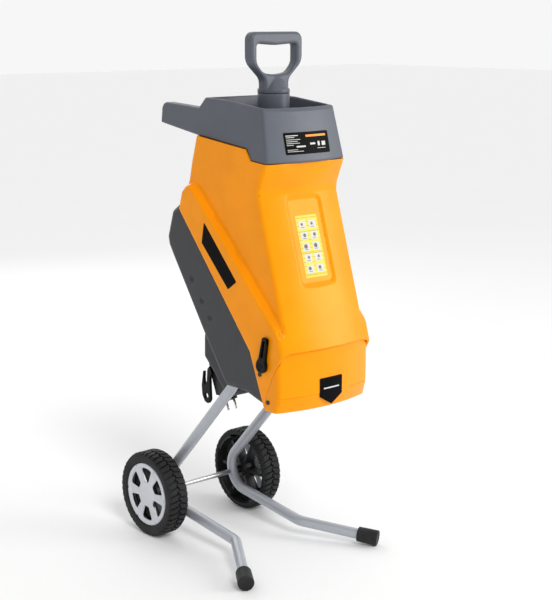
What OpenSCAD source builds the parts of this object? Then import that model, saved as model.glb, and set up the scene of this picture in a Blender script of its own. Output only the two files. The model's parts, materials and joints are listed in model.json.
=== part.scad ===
// Electric garden shredder on a two-wheeled tube stand.
// +Z is up, -Y is the front, the floor is Z = 0 and the shredder is
// centred on X = 0. All lengths are in millimetres.
// The hopper, casing and plunger form an upper part that tilts back on a
// hinge, away from the motor housing that carries the cutter disc.

/* [Shells] */
// Wall thickness of the moulded shells
wall = 3; // [2.5:0.1:4]
// Half width of the casing's upright tower
tower_hw = 93; // [90:0.5:96]
// Half width of the casing's flared skirt
skirt_hw = 106; // [103:0.5:108]
// Half width of the motor housing at the parting line
housing_hw = 104; // [101:0.5:105]
// How far the front panel bulges at its middle
crown = 11.3; // [6:0.1:12]

/* [Hopper] */
// Half width of the hopper at its rim
rim_hw = 82.5; // [80:0.5:86]
// Half width of the hopper at its bottom edge
hopper_hw = 91; // [88:0.5:92]
// Height of the top of the hopper's floor
floor_z = 795; // [785:1:800]
// Inner radius of the feed throat
throat_r = 31.5; // [31:0.5:34]

/* [Plunger] */
// Diameter of the plunger's barrel
barrel_d = 57; // [50:1:60]
// Width of the D-shaped grip
grip_w = 119; // [110:1:125]
// Height of the top of the grip
grip_top = 959.5; // [950:0.5:965]

/* [Motor and cutter] */
// Lean of the cutter disc's plane from the vertical shaft position
tilt = 49; // [48:0.5:50]
// Radius of the cutter disc
disc_r = 82; // [76:1:84]
// Radius of the motor's outer can
can_r = 48; // [46:1:50]

/* [Stand] */
// Outer diameter of the wheels
wheel_d = 165; // [160:1:165]
// Width of a wheel
wheel_w = 45; // [40:1:46]
// Outer diameter of the stand's tubes
tube_d = 20; // [18:1:21]
// Distance between the two tubes
track = 158; // [154:1:160]
// Diameter of the axle
axle_d = 10; // [8:1:12]

/* [Hidden] */
$fn = 64;

orange = "orange";
hopper_grey = "slategray";
housing_grey = "dimgray";
far = 400;
lap = 1;
run_fit = 0.05;

// Outline of the casing seen from the side, as [y, z], anticlockwise
// from the front crease, round the bottom and up the parting line.
front_crease = [-217.8, 421.8];
neck_crease = [-137.3, 688.5];
shoulder_top = [-158, 739];
part_low = [-169.5, 316.6];
part_bend = [-151, 362.5];
part_knee = [-130.6, 413.5];
part_top = [73, 648];
seam_step_low = [-116.5, 743];
seam_step_high = [-103, 762];
seam_rear = [36.7, 777.7];
seam_side = [[-192, 379], [-175, 341]];
casing_outline = concat(
    [front_crease], seam_side,
    [part_low, part_bend, part_knee, part_top, [62, 684], [56, 696],
     seam_rear, seam_step_high, seam_step_low, shoulder_top, neck_crease]
);
// Side by side with the outline: 1 where an edge is a wall, 0 where the
// shell is open.
casing_walls = [0, 0, 0, 0, 0, 0, 1, 1, 1, 0, 0, 0, 1, 1];

skirt_outline = concat(
    [front_crease], seam_side,
    [part_low, part_bend, part_knee, part_top, [64, 677], [50, 690],
     [36, 691.5], [-103, 558.5], [-212, 448]]
);
skirt_walls = [0, 0, 0, 0, 0, 0, 1, 1, 1, 1, 1, 1];

// Recess in the front panel, with the sticker in it.
recess_z = 604;
recess_size = [86, 158];
recess_depth = 5;
sticker_z = 595;
sticker_size = [50, 110];

// Screws that hold the casing and the front cover, one pair each.
casing_screw_at = [[-158.3, 377.1], [-180, 331.3]];
screw_r = 2;

// Front cover below the crease.
cover_front_y = -207;
cover_crown = 19;
cover_bottom = 315;
cover_top = 420.6;
cover_outline = [
    [-240, cover_bottom], [-171.2, cover_bottom], [-175.6, 341],
    [-192.6, 379], [-218.4, cover_top], [-240, cover_top]
];

// Hopper seen from the side.
hopper_front_low = [-159.6, 739.3];
hopper_front_top = [-137, 832.5];
hopper_outline = [
    hopper_front_low, seam_step_low, seam_step_high, seam_rear,
    [147, 794.4], [147, 821], [143.5, 828.5], [136, 831.5],
    [37.6, 826], [19.6, 845], [-40, 843], hopper_front_top
];
hopper_rear_wall_y = 36;
cheek_w = 20;
tray_floor_z = 798;

// Motor housing: the main box, and the deeper rear bulge.
part_gap = 0.6;
housing_outline = [
    part_low, [-108, 332], [-47, 333], [16, 421.5], [104, 552],
    [115.6, 570.6], [118.6, 587.5], [98.7, 638], part_top,
    part_knee, part_bend
];
housing_walls = [1, 1, 1, 1, 1, 1, 1, 1, 0, 1, 1];
bulge_hw = 68;
bulge_outline = [
    [-65, 316], [-45, 309.5], [-5, 311], [30, 345], [51, 364],
    [50, 408], [30, 428], [0, 440], [-80, 370]
];
bulge_walls = [1, 1, 1, 1, 1, 1, 0, 0, 0];
housing_taper = 7;
housing_depth = 125;

// Frame of the cutter: u is X, v lies in the disc's plane and points up,
// w points out of the motor housing. The origin is the disc's centre.
disc_centre = [0, -35, 523.4];
feed_y = -72;
deck_w = [-8, -4];
disc_w = [-2, 5];
blade_t = 3.5;
feed_plate_w = [13, 16];

// Motor stack along w.
front_bracket_w = [-18, -8];
rear_bracket_w = [-87, -78];
shaft_r = 6;
tail_r = 5;
bearing_front_r = 16;
bearing_rear_r = 15;

// Hinge of the upper part.
hinge = [81, 654];
hinge_pin_r = 3;
knuckle_r = 7;
knuckle_in = [14, 33];
knuckle_out = [34, 53];

// Lock levers.
lever_pivot = [-167.7, 394.5];
lever_tip = [-176.6, 440];
lever_t = 8;
lever_bore_r = 5;

// Stand.
wheel_r = wheel_d / 2;
tube_r = tube_d / 2;
leg_x = track / 2;
axle_y = 147;
rim_r = 61;
wheel_face_x = 139;
wheel_back_x = wheel_face_x - wheel_w;
leg_bend_r = 44;
leg_bend_c = [105.5, 96.9];
leg_lean = 47.1;
up_dir = [-cos(leg_lean), sin(leg_lean)];
run_fall = 6.6;
tube_wall = 1.5;
socket_mouth = [-47.8, 325.4];
socket_depth = 45;
foot_bend = [leg_x - 1, -56, 33.7];
toe = [162.6, -186.8, 15];
cap_r = 15;
cap_l = 40;
cap_lap = 25;

function unit(v) = v / norm(v);
function edge_normal(a, b) = let(d = unit(b - a)) [-d.y, d.x];
function meet(p, d, q, e) = p + d * cross(q - p, e) / cross(d, e);
// Polygon with edge i moved inward by t[i].
function inset(p, t) = [
    for (i = [0:len(p) - 1])
        let(
            n = len(p),
            a = p[(i + n - 1) % n],
            b = p[i],
            c = p[(i + 1) % n],
            before = b + edge_normal(a, b) * t[(i + n - 1) % n],
            after = b + edge_normal(b, c) * t[i]
        )
        meet(before, b - a, after, c - b)
];
// Inset of a shell: walls move in by the wall, open edges move out.
function hollow(p, walls) = inset(p, [for (w = walls) w == 1 ? wall : -lap]);
function leg_point(t) = socket_mouth + t * up_dir;

// Extrude a [y, z] outline along X.
module along_x(hw) {
    rotate([90, 0, 90]) linear_extrude(2 * hw, center = true) children();
}

// Extrude a [x, z] outline along Y.
module along_y(from, to) {
    translate([0, to, 0]) rotate([90, 0, 0]) linear_extrude(to - from) children();
}

// Cylinder along X between two X values.
module rod_x(r, from, to, at) {
    translate([from, at.x, at.y]) rotate([0, 90, 0]) cylinder(r = r, h = to - from);
}

// Cylinder between two points.
module rod(a, b, r) {
    d = b - a;
    translate(a)
        rotate([0, acos(d.z / norm(d)), atan2(d.y, d.x)])
            cylinder(r = r, h = norm(d));
}

module both_sides() {
    children();
    mirror([1, 0, 0]) children();
}

// Volume behind a bulging front that runs through the line a-b at
// |x| = hw and stands forward by c at the middle.
module bulge_front(a, b, hw, c) {
    lean = atan2(a.x - b.x, b.y - a.y);
    cp = c * cos(lean);
    r = (hw * hw + cp * cp) / (2 * cp);
    translate([0, a.x, a.y])
        rotate([lean, 0, 0])
            translate([0, r - cp, 0])
                cylinder(r = r, h = 2 * far, center = true, $fn = 128);
}

module cutter_frame() {
    translate(disc_centre) rotate([tilt, 0, 0]) children();
}

// Disc or ring in the cutter frame between two w values.
module puck(r, w, hole = 0, at = [0, 0]) {
    translate([at.x, at.y, w[0]])
        difference() {
            cylinder(r = r, h = w[1] - w[0]);
            if (hole > 0)
                translate([0, 0, -lap]) cylinder(r = hole, h = w[1] - w[0] + 2 * lap);
        }
}

// ---------------------------------------------------------------- casing

// Outline with its front, the first point and the last n, moved forward
// by d. The first point also stays where it is, so that the seam below it
// does not move.
function forward(p, n, d) = concat(
    [p[0] - [d, 0]],
    [for (i = [0:len(p) - 1]) i >= len(p) - n ? p[i] - [d, 0] : p[i]]
);

// Tower of the casing inside a side outline.
module casing_body(outline, hw) {
    front = [outline[0], outline[len(outline) - 1]];
    split = neck_crease.y;
    top = outline[len(outline) - 2];
    intersection() {
        along_x(hw) polygon(forward(outline, 2, crown + 2));
        union() {
            intersection() {
                bulge_front(front[0], front[1], hw, crown);
                translate([-far, -far, split - 2 * far]) cube([2 * far, 2 * far, 2 * far]);
            }
            intersection() {
                bulge_front(front[1], top, hw, crown);
                translate([-far, -far, split]) cube([2 * far, 2 * far, 2 * far]);
            }
        }
    }
}

// Skirt of the casing inside a side outline.
module skirt_body(outline, hw) {
    intersection() {
        along_x(hw) polygon(forward(outline, 1, crown + 2));
        bulge_front(front_crease, neck_crease, hw, crown);
    }
}

// Frame on the front panel's middle line at height z: X to the side, Y
// into the panel and Z up along it.
module panel_frame(z) {
    rise = neck_crease - front_crease;
    lean = atan2(-rise.x, rise.y);
    translate([0, front_crease.x + (z - front_crease.y) * rise.x / rise.y - crown, z])
        rotate([lean, 0, 0])
            children();
}

// Space taken out of the front panel.
module panel_recess() {
    proud = 8;
    panel_frame(recess_z)
        translate([-recess_size.x / 2, -proud, -recess_size.y / 2])
            cube([recess_size.x, proud + recess_depth, recess_size.y]);
}

module casing() {
    color(orange)
        difference() {
            union() {
                difference() {
                    union() {
                        casing_body(casing_outline, tower_hw);
                        skirt_body(skirt_outline, skirt_hw);
                    }
                    difference() {
                        union() {
                            casing_body(hollow(casing_outline, casing_walls),
                                        tower_hw - wall);
                            skirt_body(hollow(skirt_outline, skirt_walls),
                                       skirt_hw - wall);
                        }
                        // Back of the recessed panel.
                        intersection() {
                            translate([0, wall, 0]) panel_recess();
                            casing_body(casing_outline, tower_hw);
                        }
                    }
                }
                casing_knuckles();
            }
            panel_recess();
            rod_x(hinge_pin_r + run_fit, -far, far, hinge);
            rod_x(lever_bore_r, -far, far, lever_pivot);
            rod_x(screw_r, -far, far, casing_screw_at[0]);
        }
}

// Hinge eyes on the casing's rear wall.
module casing_knuckles() {
    both_sides() {
        rod_x(knuckle_r, knuckle_out[0], knuckle_out[1], hinge);
        translate([knuckle_out[0], 66.4, 655])
            cube([knuckle_out[1] - knuckle_out[0], 14, 6]);
    }
}

module front_cover() {
    module body(outline, hw, y, c) {
        intersection() {
            along_x(hw) polygon(outline);
            bulge_front([y, cover_bottom], [y, cover_top], hw, c);
        }
    }
    color(orange)
        difference() {
            body(cover_outline, skirt_hw, cover_front_y, cover_crown);
            body(inset(cover_outline, [-lap, -lap, -lap, -lap, -lap, 0]),
                 skirt_hw - wall, cover_front_y + wall, cover_crown);
            rod_x(screw_r, -far, far, casing_screw_at[1]);
        }
}

module casing_screws() {
    head_r = 4;
    head_t = 1.6;
    screw_l = 12;
    color("black")
        both_sides()
            for (p = casing_screw_at) {
                rod_x(head_r, skirt_hw, skirt_hw + head_t, p);
                rod_x(screw_r, skirt_hw - screw_l, skirt_hw, p);
            }
}

// ---------------------------------------------------------------- hopper

module hopper_solid(t) {
    top_hw = rim_hw - t;
    low_hw = hopper_hw - t;
    z0 = 700;
    slope = (hopper_hw - rim_hw) / (hopper_front_top.y - hopper_front_low.y);
    along_y(-far, far)
        polygon([
            [-low_hw - slope * (hopper_front_low.y - z0), z0],
            [low_hw + slope * (hopper_front_low.y - z0), z0],
            [top_hw - slope * 50, hopper_front_top.y + 50],
            [-top_hw + slope * 50, hopper_front_top.y + 50]
        ]);
}

module hopper() {
    slope = (hopper_front_top.x - hopper_front_low.x)
        / (hopper_front_top.y - hopper_front_low.y);
    function front_y(z) = hopper_front_low.x + (z - hopper_front_low.y) * slope;
    inside_y = wall * 1.03;
    under = floor_z - wall;
    grown = [
        for (i = [0:len(hopper_outline) - 1])
            (i == 0 || i == len(hopper_outline) - 1)
                ? hopper_outline[i] - [crown + 2, 0] : hopper_outline[i]
    ];
    module cavity(z0, z1, rear) {
        intersection() {
            along_x(far) polygon([
                [front_y(z0) - crown - 5, z0], [rear[0], z0],
                [rear[1], z1], [front_y(z1) - crown - 5, z1]
            ]);
            bulge_front([front_y(z0) + inside_y, z0], [front_y(z1) + inside_y, z1],
                        hopper_hw - wall, crown);
            hopper_solid(wall + 2);
        }
    }
    color(hopper_grey)
        difference() {
            intersection() {
                along_x(far) polygon(grown);
                bulge_front(hopper_front_low, hopper_front_top, hopper_hw, crown);
                hopper_solid(0);
            }
            cavity(floor_z, 870, [15, 15]);
            cavity(720, under, [33, 33]);
            translate([0, feed_y, 0]) cylinder(r = throat_r, h = 2 * far);
            // Room between the cheeks, above the tray's floor.
            translate([cheek_w - rim_hw, hopper_rear_wall_y + 3, tray_floor_z])
                cube([2 * (rim_hw - cheek_w), far, far]);
            // Finger slot in front of the rear bar.
            translate([-50, 52, 700]) cube([100, 68, far]);
            // Hollows under the cheeks.
            both_sides()
                translate([rim_hw - cheek_w + wall, hopper_rear_wall_y + 3, 700])
                    cube([cheek_w - 2 * wall, 104, 122]);
        }
}

// Straight feed tube from the hopper's floor to the feed plate.
module feed_chute() {
    color("darkgray")
        difference() {
            translate([0, feed_y, far])
                difference() {
                    cylinder(r = throat_r + 2.5, h = floor_z - wall - far);
                    translate([0, 0, -lap]) cylinder(r = throat_r, h = 2 * far);
                }
            cutter_frame()
                translate([-far, -far, feed_plate_w[1] - 2 * far])
                    cube([2 * far, 2 * far, 2 * far]);
        }
}

module feed_plate() {
    color("silver")
        cutter_frame()
            difference() {
                translate([wall - skirt_hw, -100, feed_plate_w[0]])
                    cube([2 * (skirt_hw - wall), 122, feed_plate_w[1] - feed_plate_w[0]]);
                translate([-27, -76, 0]) cube([54, 60, 30]);
                for (x = [-24, 24])
                    translate([x, -86, 0]) cylinder(r = 2.5, h = 30);
            }
}

module counter_blade() {
    color("gainsboro")
        cutter_frame()
            difference() {
                translate([-32, -94, 9.4]) cube([64, 18, 3.6]);
                for (x = [-24, 24])
                    translate([x, -86, 0]) cylinder(r = 2.5, h = 30);
            }
}

// ------------------------------------------------------- labels and decals

// Plate following the bulging front at a given [y, z] line.
module front_plate(a, b, hw, c, x, z, offset, thickness) {
    intersection() {
        difference() {
            translate([0, -offset - thickness, 0]) bulge_front(a, b, hw, c);
            translate([0, -offset, 0]) bulge_front(a, b, hw, c);
        }
        translate([-x, -far, z[0]]) cube([2 * x, far, z[1] - z[0]]);
    }
}

module rating_label() {
    color("black")
        front_plate(hopper_front_low, hopper_front_top, hopper_hw, crown,
                    51, [754, 791], 0, 0.6);
}

module safety_sticker() {
    t = 0.5;
    color("yellow")
        panel_frame(sticker_z)
            translate([-sticker_size.x / 2, recess_depth - t, -sticker_size.y / 2])
                cube([sticker_size.x, t, sticker_size.y]);
}

module front_badge() {
    color("black")
        intersection() {
            front_plate([cover_front_y, cover_bottom], [cover_front_y, cover_top],
                        skirt_hw, cover_crown, 26, [318, 370], 0, 1.5);
            along_y(-far, 0)
                polygon([[-26, 369], [-26, 336], [0, 320], [26, 336], [26, 369]]);
        }
}

module side_decals() {
    t = 0.6;
    color("black")
        both_sides()
            translate([skirt_hw + t / 2, 0, 0])
                along_x(t / 2)
                    polygon([[-95, 531], [-72, 515], [2, 589], [-5, 626]]);
}

// ---------------------------------------------------------- motor housing

module housing_taper_volume(t) {
    hw = housing_hw - t;
    cutter_frame()
        rotate([90, 0, 0])
            linear_extrude(2 * far, center = true)
                polygon([
                    [-hw, far / 4], [-hw, 0],
                    [-hw + housing_taper, -housing_depth], [-hw + housing_taper, -far],
                    [hw - housing_taper, -far], [hw - housing_taper, -housing_depth],
                    [hw, 0], [hw, far / 4]
                ]);
}

module housing_main(t, outline) {
    intersection() {
        along_x(housing_hw - t) polygon(outline);
        housing_taper_volume(t);
    }
}

module leg_axis_rod(r, from, to) {
    both_sides()
        rod([leg_x, leg_point(from).x, leg_point(from).y],
            [leg_x, leg_point(to).x, leg_point(to).y], r);
}

leg_screw_at = leg_point(24);

module motor_housing() {
    gap = [for (i = [0:len(housing_walls) - 1]) i < 8 ? 0 : part_gap];
    outer = inset(housing_outline, gap);
    inner = inset(housing_outline, [for (w = housing_walls) w == 1 ? wall : -lap]);
    color(housing_grey)
        difference() {
            union() {
                difference() {
                    union() {
                        housing_main(0, outer);
                        along_x(bulge_hw) polygon(bulge_outline);
                    }
                    housing_main(wall, inner);
                    along_x(bulge_hw - wall) polygon(hollow(bulge_outline, bulge_walls));
                }
                intersection() {
                    housing_main(0, outer);
                    leg_axis_rod(tube_r + 3, -10, socket_depth + 3);
                }
                // Ledge that carries the deck plate.
                intersection() {
                    housing_main(0, outer);
                    cutter_frame()
                        difference() {
                            translate([-far, -150, deck_w[0] - 3]) cube([2 * far, 298, 3]);
                            translate([-92, -118, -20]) cube([184, 256, 30]);
                        }
                }
                both_sides() {
                    rod_x(knuckle_r, knuckle_in[0], knuckle_in[1], hinge);
                    translate([knuckle_in[0], 74.5, 640])
                        cube([knuckle_in[1] - knuckle_in[0], 11.5, 9]);
                }
            }
            leg_axis_rod(tube_r + run_fit, -30, socket_depth);
            rod_x(hinge_pin_r, -far, far, hinge);
            // Opening behind the switch box.
            translate([-30, 30, 372]) cube([60, 40, 30]);
            both_sides() rod_x(3, 50, leg_x + tube_r + 3, leg_screw_at);
        }
}

module leg_screws() {
    color("silver")
        both_sides() {
            rod_x(3, leg_x - tube_r - 3, leg_x + tube_r + 2, leg_screw_at);
            rod_x(5.5, leg_x - tube_r - 7, leg_x - tube_r - 3, leg_screw_at);
        }
}

module deck_plate() {
    color("lightgray")
        cutter_frame()
            difference() {
                translate([-98, -124, deck_w[0]]) cube([196, 268, deck_w[1] - deck_w[0]]);
                translate([0, 0, -20]) cylinder(r = 12, h = 40);
                translate([interlock_x - 6, interlock_v - 8, -20]) cube([12, 16, 40]);
            }
}

interlock_x = 60;
interlock_v = -104;

module interlock_switch() {
    color("black")
        cutter_frame()
            difference() {
                translate([interlock_x - 12, interlock_v - 12, -30]) cube([24, 24, 22]);
                translate([interlock_x - 6, interlock_v - 8, -22]) cube([12, 16, 20]);
            }
}

module interlock_finger() {
    color("orange")
        cutter_frame()
            translate([interlock_x - 3, interlock_v - 4, 0]) {
                translate([0, 0, -14]) cube([6, 8, 30]);
                translate([-3, -2, 16]) cube([12, 12, 3]);
                translate([0, -3, 19]) cube([6, 14, 8]);
            }
}

module hinge_pin() {
    color("silver") {
        rod_x(hinge_pin_r, -knuckle_out[1] - 3, knuckle_out[1] + 3, hinge);
        both_sides() rod_x(5, knuckle_out[1] + 1, knuckle_out[1] + 3, hinge);
    }
}

// ------------------------------------------------------------------ motor

module motor_front_bracket() {
    color("silver")
        cutter_frame()
            difference() {
                puck(can_r, front_bracket_w);
                translate([0, 0, -30]) cylinder(r = bearing_front_r, h = 30);
                for (a = [0:60:300])
                    rotate(a) translate([0, 30, -30]) cylinder(r = 6, h = 30);
            }
}

module motor_rear_bracket() {
    color("silver")
        cutter_frame()
            difference() {
                puck(40, rear_bracket_w);
                translate([0, 0, -100]) cylinder(r = bearing_rear_r, h = 40);
                for (a = [45:90:315])
                    rotate(a) translate([0, 28, -100]) cylinder(r = 6, h = 40);
            }
}

module motor_can() {
    color("gray")
        cutter_frame() {
            puck(can_r, [rear_bracket_w[1] + 4, front_bracket_w[0]], can_r - 4);
            puck(can_r, [rear_bracket_w[1], rear_bracket_w[1] + 4], 36);
        }
}

module stator_core() {
    color("darkgray")
        cutter_frame()
            difference() {
                puck(can_r - 4, [-57, -32]);
                translate([0, 0, -60]) cylinder(r = 28, h = 40);
                for (a = [0, 180])
                    rotate(a) translate([-14, 26, -60]) cube([28, 10, 40]);
            }
}

module field_windings() {
    color("chocolate")
        cutter_frame()
            for (a = [0, 180])
                rotate(a) translate([-13, 28.5, -62]) cube([26, 7, 34]);
}

module shaft_bearings() {
    color("gainsboro")
        cutter_frame() {
            puck(bearing_front_r, front_bracket_w, shaft_r + run_fit);
            puck(bearing_rear_r, rear_bracket_w, tail_r + run_fit);
        }
}

module brush_holders() {
    color("goldenrod")
        cutter_frame()
            both_sides()
                difference() {
                    translate([17, -6, -73]) cube([24, 12, 9]);
                    translate([16, -4, -71]) cube([26, 8, 5]);
                }
}

module carbon_brushes() {
    color("black")
        cutter_frame()
            both_sides()
                translate([14.4, -4, -71]) cube([16, 8, 5]);
}

module motor_shaft() {
    color("silver")
        cutter_frame() {
            translate([0, 0, -77.5]) cylinder(r = shaft_r, h = 77.5 + disc_w[1]);
            translate([0, 0, -88]) cylinder(r = tail_r, h = 10.5);
        }
}

module armature_core() {
    color("gray")
        cutter_frame()
            difference() {
                puck(27.4, [-58, -31], shaft_r);
                for (a = [0:30:330])
                    rotate(a) translate([-1.5, 21, -70]) cube([3, 10, 60]);
            }
}

module armature_windings() {
    color("chocolate")
        cutter_frame() {
            puck(24, [-63, -58], shaft_r);
            puck(24, [-31, -28], shaft_r);
        }
}

module commutator() {
    color("chocolate")
        cutter_frame() puck(14, [-74, -63], shaft_r);
}

module cooling_fan() {
    color("white")
        cutter_frame() {
            puck(12, [-28, -20], shaft_r);
            puck(40, [-21.5, -20], 12);
            for (a = [0:40:320])
                rotate(a) translate([-1, 16, -26.5]) cube([2, 22, 5]);
        }
}

// ----------------------------------------------------------------- cutter

module cutter_disc() {
    color("silver")
        cutter_frame()
            difference() {
                puck(disc_r, disc_w, shaft_r);
                for (a = [0, 180])
                    rotate(a) {
                        translate([-16, 30, -10]) cube([12, 40, 30]);
                        for (y = [38, 60])
                            translate([8, y, -10]) cylinder(r = 3, h = 30);
                    }
            }
}

module cutter_blades() {
    color("gainsboro")
        cutter_frame()
            for (a = [0, 180])
                rotate(a)
                    difference() {
                        translate([-6, 26, disc_w[1]])
                            cube([24, 46, blade_t]);
                        for (y = [38, 60])
                            translate([8, y, -10]) cylinder(r = 3, h = 30);
                    }
}

module blade_screws() {
    color("dimgray")
        cutter_frame()
            for (a = [0, 180], y = [38, 60])
                rotate(a) translate([8, y, disc_w[0]]) cylinder(r = 3, h = 10.3);
}

module disc_bolt() {
    color("dimgray")
        cutter_frame() {
            translate([0, 0, disc_w[1]]) cylinder(r = 12, h = 1.5);
            translate([0, 0, disc_w[1] + 1.5]) cylinder(r = 8, h = 2.5, $fn = 6);
        }
}

// ----------------------------------------------------- switch and inlet

switch_hw = 45;

switch_outline = [
    [8, 289], [42, 287], [60, 330], [68, 366], [68, 402], [50.2, 408.5],
    [51.3, 363.9], [30.2, 344.7], [-5, 310.7]
];
switch_walls = [1, 1, 1, 1, 1, 0, 0, 0, 1];

module switch_box() {
    color("black")
        difference() {
            along_x(switch_hw) polygon(switch_outline);
            along_x(switch_hw - wall) polygon(hollow(switch_outline, switch_walls));
            for (x = [-22, 4])
                translate([x - 9.4, 55, 376]) cube([18.8, 20, 18.8]);
            translate([31, 60, 384]) rotate([-90, 0, 0]) cylinder(r = 5.4, h = 20);
        }
}

module start_button() {
    color("green") translate([-22 - 9, 56.5, 376.4]) cube([18, 15, 18]);
}

module stop_button() {
    color("red") translate([4 - 9, 56.5, 376.4]) cube([18, 15, 18]);
}

module reset_button() {
    color("gainsboro")
        translate([31, 61.5, 384]) rotate([-90, 0, 0]) cylinder(r = 5, h = 10);
}

inlet_at = [-32, 22, 288.4];
inlet_lean = 30;
pin_gap = 19;
pin_r = 2.4;
pin_l = 19;
pin_root_r = 1.8;
inlet_face = 9;

module inlet_frame() {
    translate(inlet_at) rotate([180 - inlet_lean, 0, 0]) children();
}

module plug_inlet() {
    color("black")
        difference() {
            inlet_frame()
                difference() {
                    union() {
                        both_sides()
                            translate([8, 0, -3]) cylinder(r = 9, h = inlet_face + 3);
                        translate([-8, -9, -3]) cube([16, 18, inlet_face + 3]);
                    }
                    both_sides() translate([pin_gap / 2, 0, -10]) cylinder(r = pin_root_r, h = 40);
                }
            along_x(switch_hw) polygon(switch_outline);
        }
}

module inlet_pins() {
    color("silver")
        inlet_frame()
            both_sides() {
                translate([pin_gap / 2, 0, 3]) cylinder(r = pin_root_r, h = inlet_face - 3);
                translate([pin_gap / 2, 0, inlet_face]) cylinder(r = pin_r, h = pin_l);
            }
}

// Strain relief hook for the extension cord, hanging at the rear left.
module cord_hook() {
    color("black") {
        translate([-51, 0, 0])
            along_x(3)
                difference() {
                    polygon([
                        [50, 344], [58, 336], [60, 312], [66, 300], [68, 316],
                        [67, 330], [71, 330], [76, 300], [74, 282], [66, 270],
                        [56, 268], [48, 276], [49, 296], [50, 320], [44, 330]
                    ]);
                    translate([61, 283]) circle(r = 5);
                }
        rod_x(4, -54, -switch_hw, [50, 336]);
    }
}

// ---------------------------------------------------------------- latches

module lock_lever() {
    z_dir = unit(lever_tip - lever_pivot);
    color("black")
        difference() {
            union() {
                rod_x(12.5, skirt_hw + 0.4, skirt_hw + lever_t, lever_pivot);
                rod_x(6, skirt_hw + 0.4, skirt_hw + lever_t, lever_tip);
                translate([skirt_hw + 0.4 + (lever_t - 0.4) / 2, 0, 0])
                    along_x((lever_t - 0.4) / 2)
                        polygon([
                            lever_pivot + 9 * [z_dir.y, -z_dir.x],
                            lever_tip + 6 * [z_dir.y, -z_dir.x],
                            lever_tip - 6 * [z_dir.y, -z_dir.x],
                            lever_pivot - 9 * [z_dir.y, -z_dir.x]
                        ]);
                rod_x(lever_bore_r - run_fit - 0.01, skirt_hw - 10, skirt_hw + 2, lever_pivot);
                rod_x(9, skirt_hw - 10, skirt_hw - wall - 0.4, lever_pivot);
            }
            translate([skirt_hw + lever_t, 0, 0])
                along_x(3)
                    polygon([
                        lever_pivot + 16 * z_dir + 2.4 * [z_dir.y, -z_dir.x],
                        lever_tip + 1 * z_dir + 2.4 * [z_dir.y, -z_dir.x],
                        lever_tip + 1 * z_dir - 2.4 * [z_dir.y, -z_dir.x],
                        lever_pivot + 16 * z_dir - 2.4 * [z_dir.y, -z_dir.x]
                    ]);
        }
}

module lock_lever_right() { lock_lever(); }
module lock_lever_left() { mirror([1, 0, 0]) lock_lever(); }

// ---------------------------------------------------------------- plunger

barrel_top = 858;
barrel_low = 548;
barrel_wall = 3;
barrel_floor = 5;
grip_t = 22;

module plunger_barrel() {
    color(hopper_grey)
        translate([0, feed_y, 0])
            difference() {
                translate([0, 0, barrel_low]) cylinder(d = barrel_d, h = barrel_top - barrel_low);
                translate([0, 0, barrel_low + barrel_floor])
                    cylinder(r = barrel_d / 2 - barrel_wall, h = far);
            }
}

module plunger_grip() {
    hw = grip_w / 2;
    bar = 22;
    low = 886;
    plug_l = 12;
    color(hopper_grey) {
        // D-shaped loop.
        along_y(feed_y - grip_t / 2, feed_y + grip_t / 2)
            difference() {
                polygon([
                    [-17, barrel_top], [17, barrel_top], [19, 868], [46, 892],
                    [hw, 912], [hw, grip_top - 12], [hw - 12, grip_top],
                    [-hw + 12, grip_top], [-hw, grip_top - 12], [-hw, 912],
                    [-46, 892], [-19, 868]
                ]);
                polygon([
                    [-22, low + 4], [22, low + 4], [40, low + 14], [hw - 11, 916],
                    [hw - 11, grip_top - bar], [-hw + 11, grip_top - bar],
                    [-hw + 11, 916], [-40, low + 14]
                ]);
            }
        translate([0, feed_y, barrel_top]) cylinder(d1 = barrel_d, d2 = 24, h = 26);
        translate([0, feed_y, barrel_top - plug_l])
            cylinder(r = barrel_d / 2 - barrel_wall, h = plug_l);
    }
}

// ------------------------------------------------------------------ stand

// Bend of radius r_bend for a rod of radius r, in the plane of p0, p1 and
// p2, with its corner at p1.
module bend(p0, p1, p2, r_bend, r) {
    a = unit(p0 - p1);
    b = unit(p2 - p1);
    half = acos(a * b) / 2;
    mid = unit(a + b);
    n = unit(cross(a, b));
    s = cross(n, mid);
    c = p1 + mid * r_bend / sin(half);
    multmatrix([
        [mid.x, s.x, n.x, c.x],
        [mid.y, s.y, n.y, c.y],
        [mid.z, s.z, n.z, c.z],
        [0, 0, 0, 1]
    ])
        rotate(90 + half)
            rotate_extrude(angle = 180 - 2 * half)
                translate([r_bend, 0]) circle(r = r, $fn = 32);
}

function bend_start(p0, p1, p2, r_bend) =
    let(a = unit(p0 - p1), b = unit(p2 - p1), half = acos(a * b) / 2)
    p1 + a * r_bend / tan(half);

run_dir = [-cos(run_fall), -sin(run_fall)];
run_tangent = leg_bend_c + leg_bend_r * [sin(run_fall), -cos(run_fall)];
up_tangent = leg_bend_c + leg_bend_r * [sin(leg_lean), cos(leg_lean)];
leg_corner = meet(up_tangent, up_dir, run_tangent, run_dir);
leg_top = leg_point(socket_depth - 1);
foot_z = run_tangent.y + (foot_bend.y - run_tangent.x) / run_dir.x * run_dir.y;

leg_path = [
    [leg_x, leg_top.x, leg_top.y],
    [leg_x, leg_corner.x, leg_corner.y],
    [leg_x, foot_bend.y, foot_z],
    toe + unit([leg_x, foot_bend.y, foot_z] - toe) * 2
];
foot_bend_r = 34;

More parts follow.
